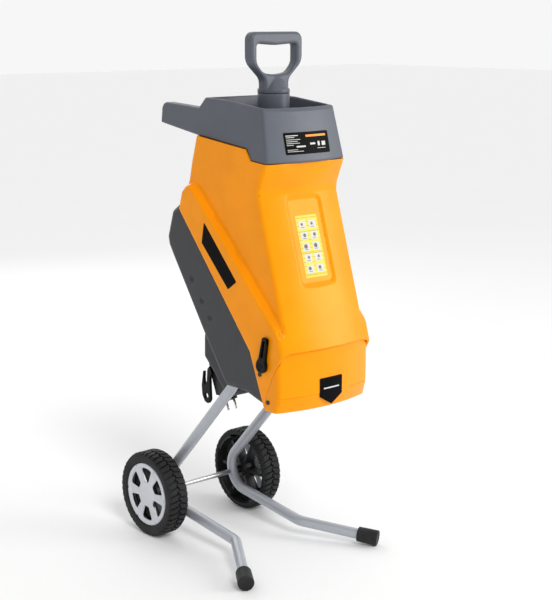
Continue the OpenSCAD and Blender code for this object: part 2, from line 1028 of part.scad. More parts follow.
// The straights are a hair thinner than the bends and run a little way
// into them, so that the pieces join as one tube.
module leg_tube(r, extra) {
    p = leg_path;
    lap_in = 0.5;
    thin = 0.02;
    ends = [
        [p[0] + unit(p[0] - p[1]) * extra, bend_start(p[0], p[1], p[2], leg_bend_r)],
        [bend_start(p[2], p[1], p[0], leg_bend_r), bend_start(p[1], p[2], p[3], foot_bend_r)],
        [bend_start(p[3], p[2], p[1], foot_bend_r), p[3] + unit(p[3] - p[2]) * extra]
    ];
    for (i = [0:2]) {
        d = unit(ends[i][1] - ends[i][0]);
        rod(ends[i][0] - d * (i > 0 ? lap_in : 0),
            ends[i][1] + d * (i < 2 ? lap_in : 0), r - thin);
    }
    bend(p[0], p[1], p[2], leg_bend_r, r);
    bend(p[1], p[2], p[3], foot_bend_r, r);
}

module leg() {
    color("silver")
        difference() {
            leg_tube(tube_r, 0);
            leg_tube(tube_r - tube_wall, lap);
            rod_x(axle_d / 2, 0, far, [axle_y, wheel_r]);
            rod_x(3, 0, far, leg_screw_at);
        }
}

module leg_right() { leg(); }
module leg_left() { mirror([1, 0, 0]) leg(); }

module toe_caps() {
    d = unit(toe - [leg_x, foot_bend.y, foot_z]);
    end = [toe.x, toe.y, cap_r * sqrt(1 - d.z * d.z)];
    color("black")
        both_sides()
            difference() {
                rod(end - d * cap_l, end, cap_r);
                rod(toe - d * (cap_l + lap), toe - d * 2, tube_r);
            }
}

module axle() {
    color("silver")
        rod_x(axle_d / 2, -wheel_face_x + 5, wheel_face_x - 5, [axle_y, wheel_r]);
}

module axle_spacers() {
    color("black")
        both_sides()
            difference() {
                rod_x(8, leg_x + tube_r + 0.6, wheel_back_x + 1.6, [axle_y, wheel_r]);
                rod_x(axle_d / 2, 0, far, [axle_y, wheel_r]);
            }
}

module axle_nuts() {
    color("silver")
        both_sides()
            difference() {
                translate([wheel_face_x - 12, axle_y, wheel_r])
                    rotate([0, 90, 0]) cylinder(r = 8.5, h = 6, $fn = 6);
                rod_x(axle_d / 2, 0, far, [axle_y, wheel_r]);
            }
}

module wheel_place() {
    translate([wheel_back_x, axle_y, wheel_r]) rotate([0, 90, 0]) children();
}

// Tyre turned about the axle, with a groove between its two tread rows.
module tyre() {
    r = wheel_r;
    w = wheel_w;
    color("black")
        wheel_place()
            rotate_extrude($fn = 96)
                polygon([
                    [rim_r, 4], [rim_r + 6, 0.5], [r - 7, 0.5], [r, 7],
                    [r, w / 2 - 2.5], [r - 4, w / 2 - 1.5], [r - 4, w / 2 + 1.5],
                    [r, w / 2 + 2.5], [r, w - 7], [r - 7, w - 0.5],
                    [rim_r + 6, w - 0.5], [rim_r, w - 4]
                ]);
}

// Black wheel body: hub, spokes and the rim band that carries the tyre.
module rim() {
    web = [8, 30];
    color("dimgray")
        wheel_place()
            difference() {
                union() {
                    difference() {
                        translate([0, 0, 4]) cylinder(r = rim_r, h = wheel_w - 10);
                        translate([0, 0, -lap]) cylinder(r = rim_r - 5, h = wheel_w + 2 * lap);
                    }
                    translate([0, 0, 2]) cylinder(r = 15, h = 30);
                    for (a = [0:60:300])
                        rotate(a + 30)
                            translate([10, -3, web[0]]) cube([rim_r - 12, 6, web[1] - web[0]]);
                }
                translate([0, 0, -lap]) cylinder(r = axle_d / 2 + run_fit, h = far);
                translate([0, 0, 31.5]) cylinder(r = 10.5, h = far);
            }
}

// White outer trim with six windows and a closed middle.
module trim() {
    base = wheel_w - 6;
    color("white")
        wheel_place()
            difference() {
                union() {
                    translate([0, 0, base]) cylinder(r = rim_r - 0.2, h = 4);
                    translate([0, 0, base - 5]) cylinder(r = 15, h = 10.5);
                }
                for (a = [0:60:300])
                    rotate(a)
                        intersection() {
                            difference() {
                                translate([0, 0, base - lap]) cylinder(r = 51, h = 8);
                                translate([0, 0, base - 2]) cylinder(r = 23, h = 10);
                            }
                            translate([0, 0, base - 2])
                                linear_extrude(10)
                                    polygon([[14, -4], [60, -21], [60, 21], [14, 4]]);
                        }
                translate([0, 0, base - 6]) cylinder(r = 10.5, h = 9);
            }
}

module tyre_right() { tyre(); }
module tyre_left() { mirror([1, 0, 0]) tyre(); }
module rim_right() { rim(); }
module rim_left() { mirror([1, 0, 0]) rim(); }
module trim_right() { trim(); }
module trim_left() { mirror([1, 0, 0]) trim(); }

// ------------------------------------------------------------------ nodes

leg_left();
leg_right();
toe_caps();
axle();
axle_spacers();
axle_nuts();
motor_housing();
leg_screws();
deck_plate();
motor_front_bracket();
motor_can();
stator_core();
field_windings();
motor_rear_bracket();
shaft_bearings();
brush_holders();
carbon_brushes();
switch_box();
plug_inlet();
inlet_pins();
cord_hook();
interlock_switch();
hinge_pin();
motor_shaft();
armature_core();
armature_windings();
commutator();
cooling_fan();
cutter_disc();
cutter_blades();
blade_screws();
disc_bolt();
casing();
front_cover();
hopper();
feed_chute();
feed_plate();
counter_blade();
casing_screws();
rating_label();
safety_sticker();
front_badge();
side_decals();
interlock_finger();
lock_lever_left();
lock_lever_right();
plunger_grip();
plunger_barrel();
start_button();
stop_button();
reset_button();
tyre_left();
tyre_right();
rim_left();
rim_right();
trim_left();
trim_right();
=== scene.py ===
"""Looks of an electric garden shredder on a two-wheeled tube stand.

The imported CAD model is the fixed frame. The moulded shells, the tubes, the
wheels and the small black parts are built here as skins of signed distance
fields, with the same outlines as the CAD solids and with rounded edges. The
inner metal parts are the CAD nodes themselves, with a fine bevel.

Shapes are in millimetres in the frame's axes: X to the side, Y to the back,
Z up. An outline seen from the side is a list of (y, z). A field is negative
inside its shape, and most fields measure |x|, so they hold for both sides.
"""

import json
import math

import bpy
import numpy as np
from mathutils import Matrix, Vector


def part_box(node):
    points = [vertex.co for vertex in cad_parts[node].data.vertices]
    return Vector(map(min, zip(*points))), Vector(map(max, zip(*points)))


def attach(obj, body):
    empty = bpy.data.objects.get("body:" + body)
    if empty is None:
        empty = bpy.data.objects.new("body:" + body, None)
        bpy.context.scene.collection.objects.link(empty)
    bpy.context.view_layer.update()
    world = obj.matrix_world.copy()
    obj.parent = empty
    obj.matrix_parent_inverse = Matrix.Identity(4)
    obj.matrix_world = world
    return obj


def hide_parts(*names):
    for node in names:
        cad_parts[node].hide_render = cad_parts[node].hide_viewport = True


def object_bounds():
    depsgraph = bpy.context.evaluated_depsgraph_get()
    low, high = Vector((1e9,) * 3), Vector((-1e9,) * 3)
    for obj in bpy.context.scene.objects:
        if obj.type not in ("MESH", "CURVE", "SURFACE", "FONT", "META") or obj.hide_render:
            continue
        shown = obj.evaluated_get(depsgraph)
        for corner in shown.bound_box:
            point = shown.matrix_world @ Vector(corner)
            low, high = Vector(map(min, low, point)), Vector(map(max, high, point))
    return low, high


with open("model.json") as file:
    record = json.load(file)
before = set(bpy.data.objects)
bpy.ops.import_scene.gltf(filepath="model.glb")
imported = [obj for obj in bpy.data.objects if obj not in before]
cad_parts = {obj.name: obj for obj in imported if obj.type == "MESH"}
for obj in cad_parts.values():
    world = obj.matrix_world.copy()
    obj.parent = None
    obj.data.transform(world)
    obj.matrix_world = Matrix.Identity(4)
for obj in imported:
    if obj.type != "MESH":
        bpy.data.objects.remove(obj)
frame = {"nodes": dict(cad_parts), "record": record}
cad_low, cad_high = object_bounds()

MM = 0.001
STAND = "stand_and_motor"
UPPER = "upper_casing"


# ---- places


def cad_box(node):
    """Lowest and highest corner of a CAD node in millimetres."""
    low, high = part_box(node)
    return np.array(low) / MM, np.array(high) / MM


def cad_centre(node):
    low, high = cad_box(node)
    return (low + high) / 2


# Half widths end in HW, radii in R. The walls are as thick as the meshing needs.
WALL = 4.2
TOWER_HW = 93.0
SKIRT_HW = cad_box("casing")[1][0]
HOUSING_HW = cad_box("motor_housing")[1][0]
CROWN = 11.3

# Casing and its seams, from the side. The housing is on the left of PARTING.
FRONT_CREASE = (-217.8, 421.8)
NECK_CREASE = (-137.3, 688.5)
SHOULDER_TOP = (-158.0, 739.0)
SEAM_SIDE = [(-192.0, 379.0), (-175.0, 341.0)]
PART_LOW = (-169.5, 316.6)
PART_BEND = (-151.0, 362.5)
PART_KNEE = (-130.6, 413.5)
PART_TOP = (73.0, 648.0)
REAR_LOW = (62.0, 684.0)
REAR_MID = (56.0, 696.0)
SEAM_REAR = (36.7, 777.7)
STEP_HIGH = (-103.0, 762.0)
STEP_LOW = (-116.5, 743.0)
RIDGE_TOP = [(64.0, 677.0), (50.0, 690.0), (36.0, 692.5), (-103.0, 559.0), (-212.0, 450.0)]
PARTING = [PART_TOP, PART_KNEE, PART_BEND, PART_LOW]
RECESS_Z = 604.0
RECESS_DEPTH = 5.0

# Hopper and plunger
RIM_HW = 82.5
HOPPER_HW = cad_box("hopper")[1][0]
HOPPER_FRONT = [(-159.6, 739.3), (-137.0, 832.5)]
FLOOR_Z = 795.0
FEED_Y = cad_centre("plunger_barrel")[1]
THROAT_R = 31.5
BARREL_R = 28.5
BARREL_BORE_R = 25.5

# Front cover
COVER_CROWN = 19.0
COVER_Z = (cad_box("front_cover")[0][2], cad_box("front_cover")[1][2])
COVER_Y = -207.0
COVER_BAND_Z = 341.0
COVER_FRONT = [(COVER_Y, COVER_Z[0]), (COVER_Y, COVER_Z[1])]

# Labels: how far each stands proud of its surface
RATING_THICK = 0.6
BADGE_THICK = 1.4
STICKER_THICK = 0.5
INK_THICK = 0.12
STICKER_Z = 595.0

# Cutter, hinge and lock levers
DISC_CENTRE = (-35.0, 523.4)
TILT = math.radians(49)
HINGE = (81.0, 654.0)
HINGE_EYE_R = 7.0
LEVER_PIVOT = (-167.7, 394.5)
LEVER_TIP = (-176.6, 440.0)

# Stand, on the right side
LEG_X = 79.0
TUBE_R = 10.0
LEG_LEAN = math.radians(47.1)
LEG_UP = np.array([-math.cos(LEG_LEAN), math.sin(LEG_LEAN)])
RUN_FALL = math.radians(6.6)
SOCKET_MOUTH = np.array([-47.8, 325.4])
SOCKET_DEPTH = 48.0
LEG_BEND = (105.5, 96.9, 44.0)
FOOT_BEND_R = 34.0
FOOT_BEND_Y = -56.0
CAP_R = 15.0
CAP_LENGTH = 40.0
TOE = (162.6, -186.8, CAP_R)

# Wheels
WHEEL = cad_centre("tyre_right")
WHEEL_W = 45.0
WHEEL_BACK = cad_box("tyre_right")[0][0] - 0.5
SPOKES = 6


# ---- fields


def meet(a, b, r=0.0):
    """Inside both fields, with the edge between them rounded."""
    if r == 0:
        return np.maximum(a, b)
    outside = np.hypot(np.maximum(a + r, 0), np.maximum(b + r, 0))
    return np.minimum(np.maximum(a, b), -r) + outside


def join(a, b, r=0.0):
    """Inside either field, with the inner corner between them filled."""
    return -meet(-a, -b, r)


def cut(a, b, r=0.0):
    """The first field without the second, with a rounded lip."""
    return meet(a, -b, r)


def left_of(p, q, a, b):
    """Distance to the line from a to b, negative on its left."""
    dp, dq = b[0] - a[0], b[1] - a[1]
    return (dq * (p - a[0]) - dp * (q - a[1])) / math.hypot(dp, dq)


def left_of_all(p, q, line):
    """On the left of every line of a convex chain."""
    return np.maximum.reduce([left_of(p, q, a, b) for a, b in zip(line, line[1:])])


def outline(p, q, points):
    """Distance to a closed outline, negative inside."""
    inside = np.zeros(np.broadcast(p, q).shape, bool)
    near = np.full(inside.shape, np.inf)
    for a, b in zip(points, points[1:] + points[:1]):
        ep, eq = b[0] - a[0], b[1] - a[1]
        wp, wq = p - a[0], q - a[1]
        t = np.clip((wp * ep + wq * eq) / (ep * ep + eq * eq), 0, 1)
        near = np.minimum(near, (wp - t * ep) ** 2 + (wq - t * eq) ** 2)
        spans = (a[1] > q) != (b[1] > q)
        inside ^= spans & (wp * abs(eq) < wq * ep * np.sign(eq))
    return np.where(inside, -1, 1) * np.sqrt(near)


def soften(points, radii, steps=4, most=0.48):
    """Outline with each corner turned on its radius, within a share of its sides."""
    soft = []
    for i, r in enumerate(radii):
        p = np.array(points[i], float)
        a = np.array(points[i - 1], float) - p
        b = np.array(points[(i + 1) % len(points)], float) - p
        la, lb = np.hypot(*a), np.hypot(*b)
        a, b = a / la, b / lb
        half = math.acos(np.clip(a @ b, -1, 1)) / 2
        reach = min(r / math.tan(half), most * la, most * lb)
        r = reach * math.tan(half)
        if r < 0.1:
            soft.append(tuple(p))
            continue
        centre = p + (a + b) / np.hypot(*(a + b)) * r / math.sin(half)
        start, end = p + a * reach - centre, p + b * reach - centre
        turn = math.atan2(start[0] * end[1] - start[1] * end[0], start @ end)
        for k in range(steps + 1):
            c, s = math.cos(turn * k / steps), math.sin(turn * k / steps)
            turned = (start[0] * c - start[1] * s, start[0] * s + start[1] * c)
            soft.append((centre[0] + turned[0], centre[1] + turned[1]))
    return soft


# Side outline of the flared skirt: its ridge, and far sides that other fields cut.
RIDGE = soften([(109, 532), *RIDGE_TOP, (-300, 362), (-300, 200), (109, 200)],
               [0, 14, 14, 14, 0, 0, 0, 0, 0])


def bulge_arc(a, b, half_width, crown):
    """Slope of a bulged front through a-b, its radius and its arc's centre depth."""
    length = math.dist(a, b)
    c, s = (b[1] - a[1]) / length, (a[0] - b[0]) / length
    sag = crown * c
    r = (half_width**2 + sag**2) / (2 * sag)
    return c, s, r, r - sag


def bulge(x, y, z, a, b, half_width, crown):
    """Space behind a front through the line a-b, with its middle forward."""
    c, s, r, centre = bulge_arc(a, b, half_width, crown)
    depth = (y - a[0]) * c + (z - a[1]) * s - centre
    return np.hypot(x, depth) - r


def on_bulge(u, v, a, b, half_width, crown, proud):
    """Point at X = u and height v, proud of a bulged front."""
    c, _, r, centre = bulge_arc(a, b, half_width, crown)
    line_y = a[0] + (v - a[1]) * (b[0] - a[0]) / (b[1] - a[1])
    back = centre - math.sqrt((r + proud) ** 2 - u * u)
    return (u, line_y + back / c, v)


def between(v, low, high):
    return np.maximum(low - v, v - high)


def axial(x, y, z, at, d):
    """Distance along an axis from a point on it, and away from the axis."""
    u, v, w = x - at[0], y - at[1], z - at[2]
    along = u * d[0] + v * d[1] + w * d[2]
    return along, np.sqrt(np.maximum(u * u + v * v + w * w - along * along, 0))


def rod(x, y, z, a, b, r, edge=0.0):
    """Cylinder from a to b with rounded ends."""
    length = math.dist(a, b)
    along, reach = axial(x, y, z, a, np.subtract(b, a) / length)
    return meet(reach - r, between(along, 0, length), edge)


def pin_x(x, y, z, at, low, high, r, edge=0.0):
    """Cylinder along X between two X values."""
    return meet(np.hypot(y - at[0], z - at[1]) - r, between(x, low, high), edge)


def cutter_w(y, z):
    """Height above the cutter disc's plane, out of the motor housing."""
    return -(y - DISC_CENTRE[0]) * math.sin(TILT) + (z - DISC_CENTRE[1]) * math.cos(TILT)


# ---- meshing


def slope_of(field, p, h=0.02):
    """Unit gradient of a field at points."""
    base = field(p[:, 0], p[:, 1], p[:, 2])
    g = np.empty_like(p)
    for k in range(3):
        q = p.copy()
        q[:, k] += h
        g[:, k] = field(q[:, 0], q[:, 1], q[:, 2]) - base
    return g / np.maximum(np.linalg.norm(g, axis=1, keepdims=True), 1e-12)


def crossings(field, low, high, values, rounds=4):
    """Where a field changes sign between two sets of points."""
    t0, t1 = np.zeros(len(low)), np.ones(len(low))
    v0, v1 = values
    for _ in range(rounds):
        t = t0 + (t1 - t0) * v0 / (v0 - v1)
        p = low + (high - low) * t[:, None]
        v = field(p[:, 0], p[:, 1], p[:, 2])
        same = (v < 0) == (v0 < 0)
        t0, v0 = np.where(same, t, t0), np.where(same, v, v0)
        t1, v1 = np.where(same, t1, t), np.where(same, v1, v)
        v1 = np.where(v0 == v1, v0 + 1e-9, v1)
    return p


def contour(field, low, high, step, pull=0.04, slack=0.1):
    """Quads of a field's surface by dual contouring, which keeps its edges.

    Each cell's point is where the planes through its crossings meet. A weak pull
    to their mean steadies flat cells, and the point stays near its own cell.
    """
    axes = [np.arange(a - 1.5 * step, b + 2.5 * step, step) for a, b in zip(low, high)]
    shape = [len(a) for a in axes]
    grid = np.meshgrid(*axes, indexing="ij", sparse=True)
    values = np.broadcast_to(field(*grid), shape)
    inside = values < 0
    origin = np.array([a[0] for a in axes])
    cells = [n - 1 for n in shape]
    ids, points, normals, flips = [], [], [], []
    for axis in range(3):
        u, v = (axis + 1) % 3, (axis + 2) % 3
        ahead = np.roll(inside, -1, axis)
        at = np.argwhere(inside != ahead)
        last = np.array(shape) - 2
        last[axis] += 1
        at = at[((at >= 1) & (at <= last)).all(1) & (at[:, axis] < shape[axis] - 1)]
        step_on = np.eye(3, dtype=int)[axis]
        ends = origin + at * step, origin + (at + step_on) * step
        found = values[tuple(at.T)].astype(float), values[tuple((at + step_on).T)].astype(float)
        p = crossings(field, *ends, found)
        points.append(p)
        normals.append(slope_of(field, p))
        flips.append(inside[tuple(at.T)])
        around = []
        for du, dv in ((-1, -1), (0, -1), (0, 0), (-1, 0)):
            cell = at.copy()
            cell[:, u] += du
            cell[:, v] += dv
            around.append(np.ravel_multi_index(tuple(cell.T), cells))
        ids.append(np.stack(around, 1))
    ids, flips = np.concatenate(ids), np.concatenate(flips)
    points, normals = np.concatenate(points), np.concatenate(normals)
    used, quads = np.unique(ids, return_inverse=True)
    quads = quads.reshape(ids.shape)
    n = len(used)

    def total(amounts):
        return np.bincount(quads.ravel(), np.repeat(amounts, 4), minlength=n)

    count = total(np.ones(len(points)))
    mean = np.stack([total(points[:, k]) for k in range(3)], 1) / count[:, None]
    matrix = np.empty((n, 3, 3))
    for i in range(3):
        for j in range(3):
            matrix[:, i, j] = total(normals[:, i] * normals[:, j])
    reach = (normals * points).sum(1)
    right = np.stack([total(normals[:, k] * reach) for k in range(3)], 1)
    hold = pull * count
    matrix += hold[:, None, None] * np.eye(3)
    right += hold[:, None] * mean
    placed = np.linalg.solve(matrix, right[:, :, None])[:, :, 0]
    corner = origin + np.stack(np.unravel_index(used, cells), 1) * step
    placed = np.clip(placed, corner - slack * step, corner + (1 + slack) * step)
    quads[~flips] = quads[~flips][:, ::-1]
    return placed, quads


def new_object(name, points, faces, smooth_angle=35.0):
    """Mesh object from points in millimetres."""
    mesh = bpy.data.meshes.new(name)
    mesh.from_pydata((np.asarray(points) * MM).tolist(), [], faces)
    mesh.validate()
    mesh.shade_smooth()
    mesh.set_sharp_from_angle(angle=math.radians(smooth_angle))
    made = bpy.data.objects.new(name, mesh)
    bpy.context.scene.collection.objects.link(made)
    return made


def true_normals(mesh, field, inset=0.2, least=0.6):
    """Shades each face by the field's own slope, sampled just inside the face.

    Where that slope strays from the face, at a fold, the face's own normal stays.
    """
    corners = len(mesh.loops)
    places = np.empty(len(mesh.vertices) * 3)
    mesh.vertices.foreach_get("co", places)
    owner = np.empty(corners, int)
    mesh.loops.foreach_get("vertex_index", owner)
    at = places.reshape(-1, 3)[owner] / MM
    middle = at.reshape(-1, 4, 3).mean(1).repeat(4, 0)
    at = at + (middle - at) * inset
    faces = np.empty(len(mesh.polygons) * 3)
    mesh.polygons.foreach_get("normal", faces)
    flat = faces.reshape(-1, 3).repeat(4, 0)
    normals = slope_of(field, at, 0.05)
    astray = (normals * flat).sum(1) < least
    normals[astray] = flat[astray]
    mesh.normals_split_custom_set(normals.tolist())


def dress(made, body, material, slot, *nodes):
    """Gives a piece its finish and its body, and hides what it stands for."""
    made.data.materials.append(material)
    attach(made, body)
    if nodes:
        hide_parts(*nodes)
    return made


def moulding(name, field, low, high, step):
    """Object from a field's surface, with the field's own normals."""
    points, quads = contour(field, low, high, step)
    made = new_object(name, points, quads.tolist(), 180)
    true_normals(made.data, field)
    return made


# ---- moulded shells


def front_panel(x, y, z):
    """Front of the tower: the long panel, and the shoulder that leans out."""
    low = bulge(x, y, z, FRONT_CREASE, NECK_CREASE, TOWER_HW, CROWN)
    high = bulge(x, y, z, NECK_CREASE, SHOULDER_TOP, TOWER_HW, CROWN)
    return join(low, high, 6)


def panel_axes(mid_z):
    """Floor of the front panel's recess: its middle, the way up it and out of it."""
    rise = np.subtract(NECK_CREASE, FRONT_CREASE)
    c, s = rise[1] / math.hypot(*rise), -rise[0] / math.hypot(*rise)
    y = FRONT_CREASE[0] + (mid_z - FRONT_CREASE[1]) * rise[0] / rise[1] - CROWN
    into, along = np.array([0, c, s]), np.array([0, -s, c])
    return np.array([0, y, mid_z]) + into * RECESS_DEPTH, along, -into


def on_panel(y, z, mid_z):
    """Distance up the recess's floor from its middle, and out of it."""
    origin, along, out = panel_axes(mid_z)
    up = (y - origin[1]) * along[1] + (z - origin[2]) * along[2]
    return up, (y - origin[1]) * out[1] + (z - origin[2]) * out[2]


def recess(x, y, z):
    """Dished field in the front panel, with sloping sides."""
    half_w, half_h, slope = 36, 74, 1.7
    up, out = on_panel(y, z, RECESS_Z)
    lean = math.hypot(1, slope)
    sides = (np.abs(x) - half_w - out * slope) / lean
    ends = (np.abs(up) - half_h - out * slope) / lean
    return meet(meet(sides, ends, 4), -out, 1)


def casing_skin(x, y, z):
    """Outer face of the tower and its skirt, which flares out below the ridge."""
    side = np.abs(x)
    above = join(left_of(y, z, REAR_LOW, REAR_MID), left_of(y, z, REAR_MID, SEAM_REAR))
    rear = meet(left_of(y, z, PART_TOP, REAR_LOW), above)
    tower = meet(side - TOWER_HW, rear, 6)
    ridge = outline(y, z, RIDGE)
    lean = 0.3
    flare = (ridge + np.maximum(side - TOWER_HW, -6) * lean) / math.hypot(1, lean)
    skirt = meet(side - SKIRT_HW, flare, 3.5)
    body = meet(join(tower, skirt, 3), front_panel(x, y, z), 6)
    return cut(body, recess(x, y, z), 1)


def casing_limits(y, z):
    """Side outline between the casing's seams, left open at front and rear."""
    beyond = 60
    rear_dir = np.subtract(PART_TOP, PART_KNEE) / math.dist(PART_TOP, PART_KNEE)
    seam_dir = np.subtract(SEAM_REAR, STEP_HIGH) / math.dist(SEAM_REAR, STEP_HIGH)
    rear_low = tuple(np.array(PART_TOP) + beyond * rear_dir)
    rear_high = tuple(np.array(SEAM_REAR) + 2 * beyond * seam_dir)
    return outline(y, z, [
        (FRONT_CREASE[0] - beyond, FRONT_CREASE[1]), FRONT_CREASE, *SEAM_SIDE,
        PART_LOW, PART_BEND, PART_KNEE, PART_TOP, rear_low, rear_high,
        SEAM_REAR, STEP_HIGH, STEP_LOW, SHOULDER_TOP,
        (SHOULDER_TOP[0] - beyond, SHOULDER_TOP[1]),
    ])


def casing(x, y, z):
    """Casing with its hinge eyes and the levers' pivot holes."""
    skin = casing_skin(x, y, z)
    shell = np.maximum(skin, -(skin + WALL))
    shell = meet(shell, casing_limits(y, z), 0.6)
    side = np.abs(x)
    eyes = pin_x(side, y, z, HINGE, 34, 53, HINGE_EYE_R, 1)
    arm = meet(between(y, 66.4, 80.4), between(z, 655, 661))
    arm = meet(arm, between(side, 34, 53), 1)
    shell = join(shell, join(eyes, arm, 1), 1)
    shell = cut(shell, np.hypot(y - HINGE[0], z - HINGE[1]) - 3.1)
    return cut(shell, np.hypot(y - LEVER_PIVOT[0], z - LEVER_PIVOT[1]) - 5)


def front_cover_skin(x, y, z):
    """Outer face of the cover, tucked in below a fine groove."""
    bottom = COVER_Z[0]
    upright = bulge(x, y, z, *COVER_FRONT, SKIRT_HW, COVER_CROWN)
    tucked = bulge(x, y, z, (COVER_Y + 7, bottom), (COVER_Y, COVER_BAND_Z),
                   SKIRT_HW, COVER_CROWN)
    front = meet(upright, tucked, 0.8)
    front = cut(front, 0.8 * np.abs(z - COVER_BAND_Z) - 1.3 - front, 0.3)
    return meet(np.abs(x) - SKIRT_HW, front, 6)


def front_cover(x, y, z):
    """Cover with a lip that fits inside the casing's edge."""
    bottom, top = COVER_Z
    skin = front_cover_skin(x, y, z)
    shell = np.maximum(skin, -(skin + WALL))
    limits = outline(y, z, [
        (-260, bottom), (-171.2, bottom), (-175.6, COVER_BAND_Z), (-192.6, 379),
        (-218.4, top), (-260, top),
    ])
    lip = outline(y, z, [
        (-260, 330), (-181, 330), (-168.2, 341), (-184.5, 384), (-211, top + 7), (-260, top + 7),
    ])
    lip = meet(meet(shell, lip), casing_skin(x, y, z) + WALL + 0.4)
    return np.minimum(meet(shell, limits, 0.8), lip)


def hopper(x, y, z):
    """Hopper with its basin, its throat and the tray that doubles as a handle."""
    side = np.abs(x)
    low, high = HOPPER_FRONT
    slope = (HOPPER_HW - RIM_HW) / (high[1] - low[1])
    flank = (side - HOPPER_HW + (z - low[1]) * slope) / math.hypot(1, slope)
    front = bulge(x, y, z, *HOPPER_FRONT, HOPPER_HW, CROWN)
    profile = outline(y, z, soften(
        [(-210, 735.0), STEP_LOW, STEP_HIGH, SEAM_REAR, (147, 794.4), (147, 821),
         (143.5, 828.5), (136, 831.5), (37.6, 826), (19.6, 845), (-40, 843),
         (-200, 825.7)],
        [0, 1.5, 2, 1, 3, 6, 6, 8, 6, 5, 30, 0]))
    body = meet(meet(profile, flank, 3), front, 6)
    draft = (high[1] - z) * 0.1
    basin = meet(meet(front + 6 + draft, flank + 6 + draft, 9), y - 14 + draft, 9)
    body = cut(body, meet(basin, FLOOR_Z - z, 5), 2)
    under = meet(meet(front + WALL, flank + WALL), z - (FLOOR_Z - WALL))
    body = cut(body, meet(under, y - 33))
    body = cut(body, np.hypot(x, y - FEED_Y) - THROAT_R, 1.2)
    tray = meet(meet(side - 62.5, 39 - y, 5), 798 - z, 3)
    body = cut(body, tray, 2.5)
    slot = meet(side - 50, between(y, 52, 120), 12)
    body = cut(body, slot, 2)
    pocket = meet(meet(between(side, 65.5, 79.5), between(y, 39, 143)), z - 822)
    return cut(body, pocket)


def housing_skin(x, y, z):
    """Outer face of the motor housing, with the bump that holds the switch box."""
    side = np.abs(x)
    deepest, narrowing = 125, 7
    depth = np.clip(-cutter_w(y, z), 0, deepest)
    flank = side - HOUSING_HW + depth * narrowing / deepest
    back = outline(y, z, soften(
        [(-330, 300), (-160, 319), (-108, 332), (-47, 333), (16, 421.5), (104, 552),
         (115.6, 570.6), (118.6, 587.5), (98.7, 638), (60, 662), (-100, 800), (-330, 700)],
        [0, 0, 8, 10, 60, 30, 12, 12, 14, 0, 0, 0]))
    main = meet(back, flank, 13)
    bump = outline(y, z, soften(
        [(-65, 316), (-45, 309.5), (-5, 311), (30, 345), (51, 364), (50, 408),
         (30, 428), (0, 440), (-80, 370)],
        [3, 6, 14, 10, 10, 12, 6, 3, 3]))
    return join(main, meet(bump, side - 68, 8), 5)


def housing(x, y, z):
    """Motor housing with leg sockets, hinge eyes, dimples and the switch's window."""
    side = np.abs(x)
    skin = housing_skin(x, y, z)
    shell = np.maximum(skin, -(skin + WALL))
    seam = left_of_all(y, z, PARTING) + 1.6
    shell = meet(shell, seam, 0.6)

    def along_leg(t):
        return (LEG_X, *(SOCKET_MOUTH + t * LEG_UP))

    boss = rod(side, y, z, along_leg(-30), along_leg(SOCKET_DEPTH), TUBE_R + 3, 1)
    shell = join(shell, meet(boss, skin), 2)
    bore = rod(side, y, z, along_leg(-60), along_leg(SOCKET_DEPTH - 3), TUBE_R + 0.3)
    shell = cut(shell, bore, 0.8)
    eyes = pin_x(side, y, z, HINGE, 14, 33, HINGE_EYE_R, 1)
    foot = meet(meet(between(y, 74.5, 86), between(z, 640, 649)), between(side, 14, 33), 1)
    shell = join(shell, join(eyes, foot, 1), 1)
    shell = cut(shell, np.hypot(y - HINGE[0], z - HINGE[1]) - 3)
    for at in ((39, 517), (10, 480.5), (-13, 453)):
        bow = np.sqrt(((y - at[0]) * 0.8) ** 2 + (z - at[1]) ** 2 + (side - 107.5) ** 2)
        shell = cut(shell, bow - 9.5, 0.5)
    window = meet(meet(side - 30, between(z, 372, 402), 3), between(y, 30, 70))
    return cut(shell, window)


# ---- plunger


def plunger_grip(x, y, z):
    """D-shaped grip on a cone and a collar."""
    hw = cad_box("plunger_grip")[1][0]
    top = cad_box("plunger_grip")[1][2]
    away = np.abs(y - FEED_Y)
    loop = outline(x, z, soften(
        [(-28, 859), (28, 859), (28, 878), (hw, 907), (hw, top), (-hw, top),
         (-hw, 907), (-28, 878)],
        [0, 0, 18, 26, 14, 14, 26, 18], 6))
    opening = outline(x, z, soften(
        [(0, 886), (30, 890), (hw - 15, 907), (hw - 15, top - 21), (0, top - 24),
         (15 - hw, top - 21), (15 - hw, 907), (-30, 890)],
        [40, 24, 18, 5, 60, 5, 18, 24], 6))
    grip = cut(meet(loop, away - 11, 6), opening, 7)
    reach = np.hypot(x, y - FEED_Y)
    lean = 0.78
    cone = (reach - BARREL_R + 0.1 + (z - 860) * lean) / math.hypot(1, lean)
    cone = meet(meet(cone, between(z, 857, 887)), reach - BARREL_R + 0.1, 2)
    grip = join(grip, cone, 1.5)
    grip = cut(grip, meet(opening, away - 40), 3)
    collar = meet(reach - BARREL_R, between(z, 854, 861), 1.2)
    plug = meet(reach - BARREL_BORE_R, between(z, 846, 858))
    return join(join(grip, collar, 1), plug)


def plunger_barrel(x, y, z):
    """Barrel closed by a floor, open at the top for the grip's plug."""
    low = cad_box("plunger_barrel")[0][2]
    reach = np.hypot(x, y - FEED_Y)
    body = meet(reach - BARREL_R, between(z, low, 853.4), 1.5)
    return cut(body, meet(reach - BARREL_BORE_R, low + 5 - z, 2))


# ---- small blacks


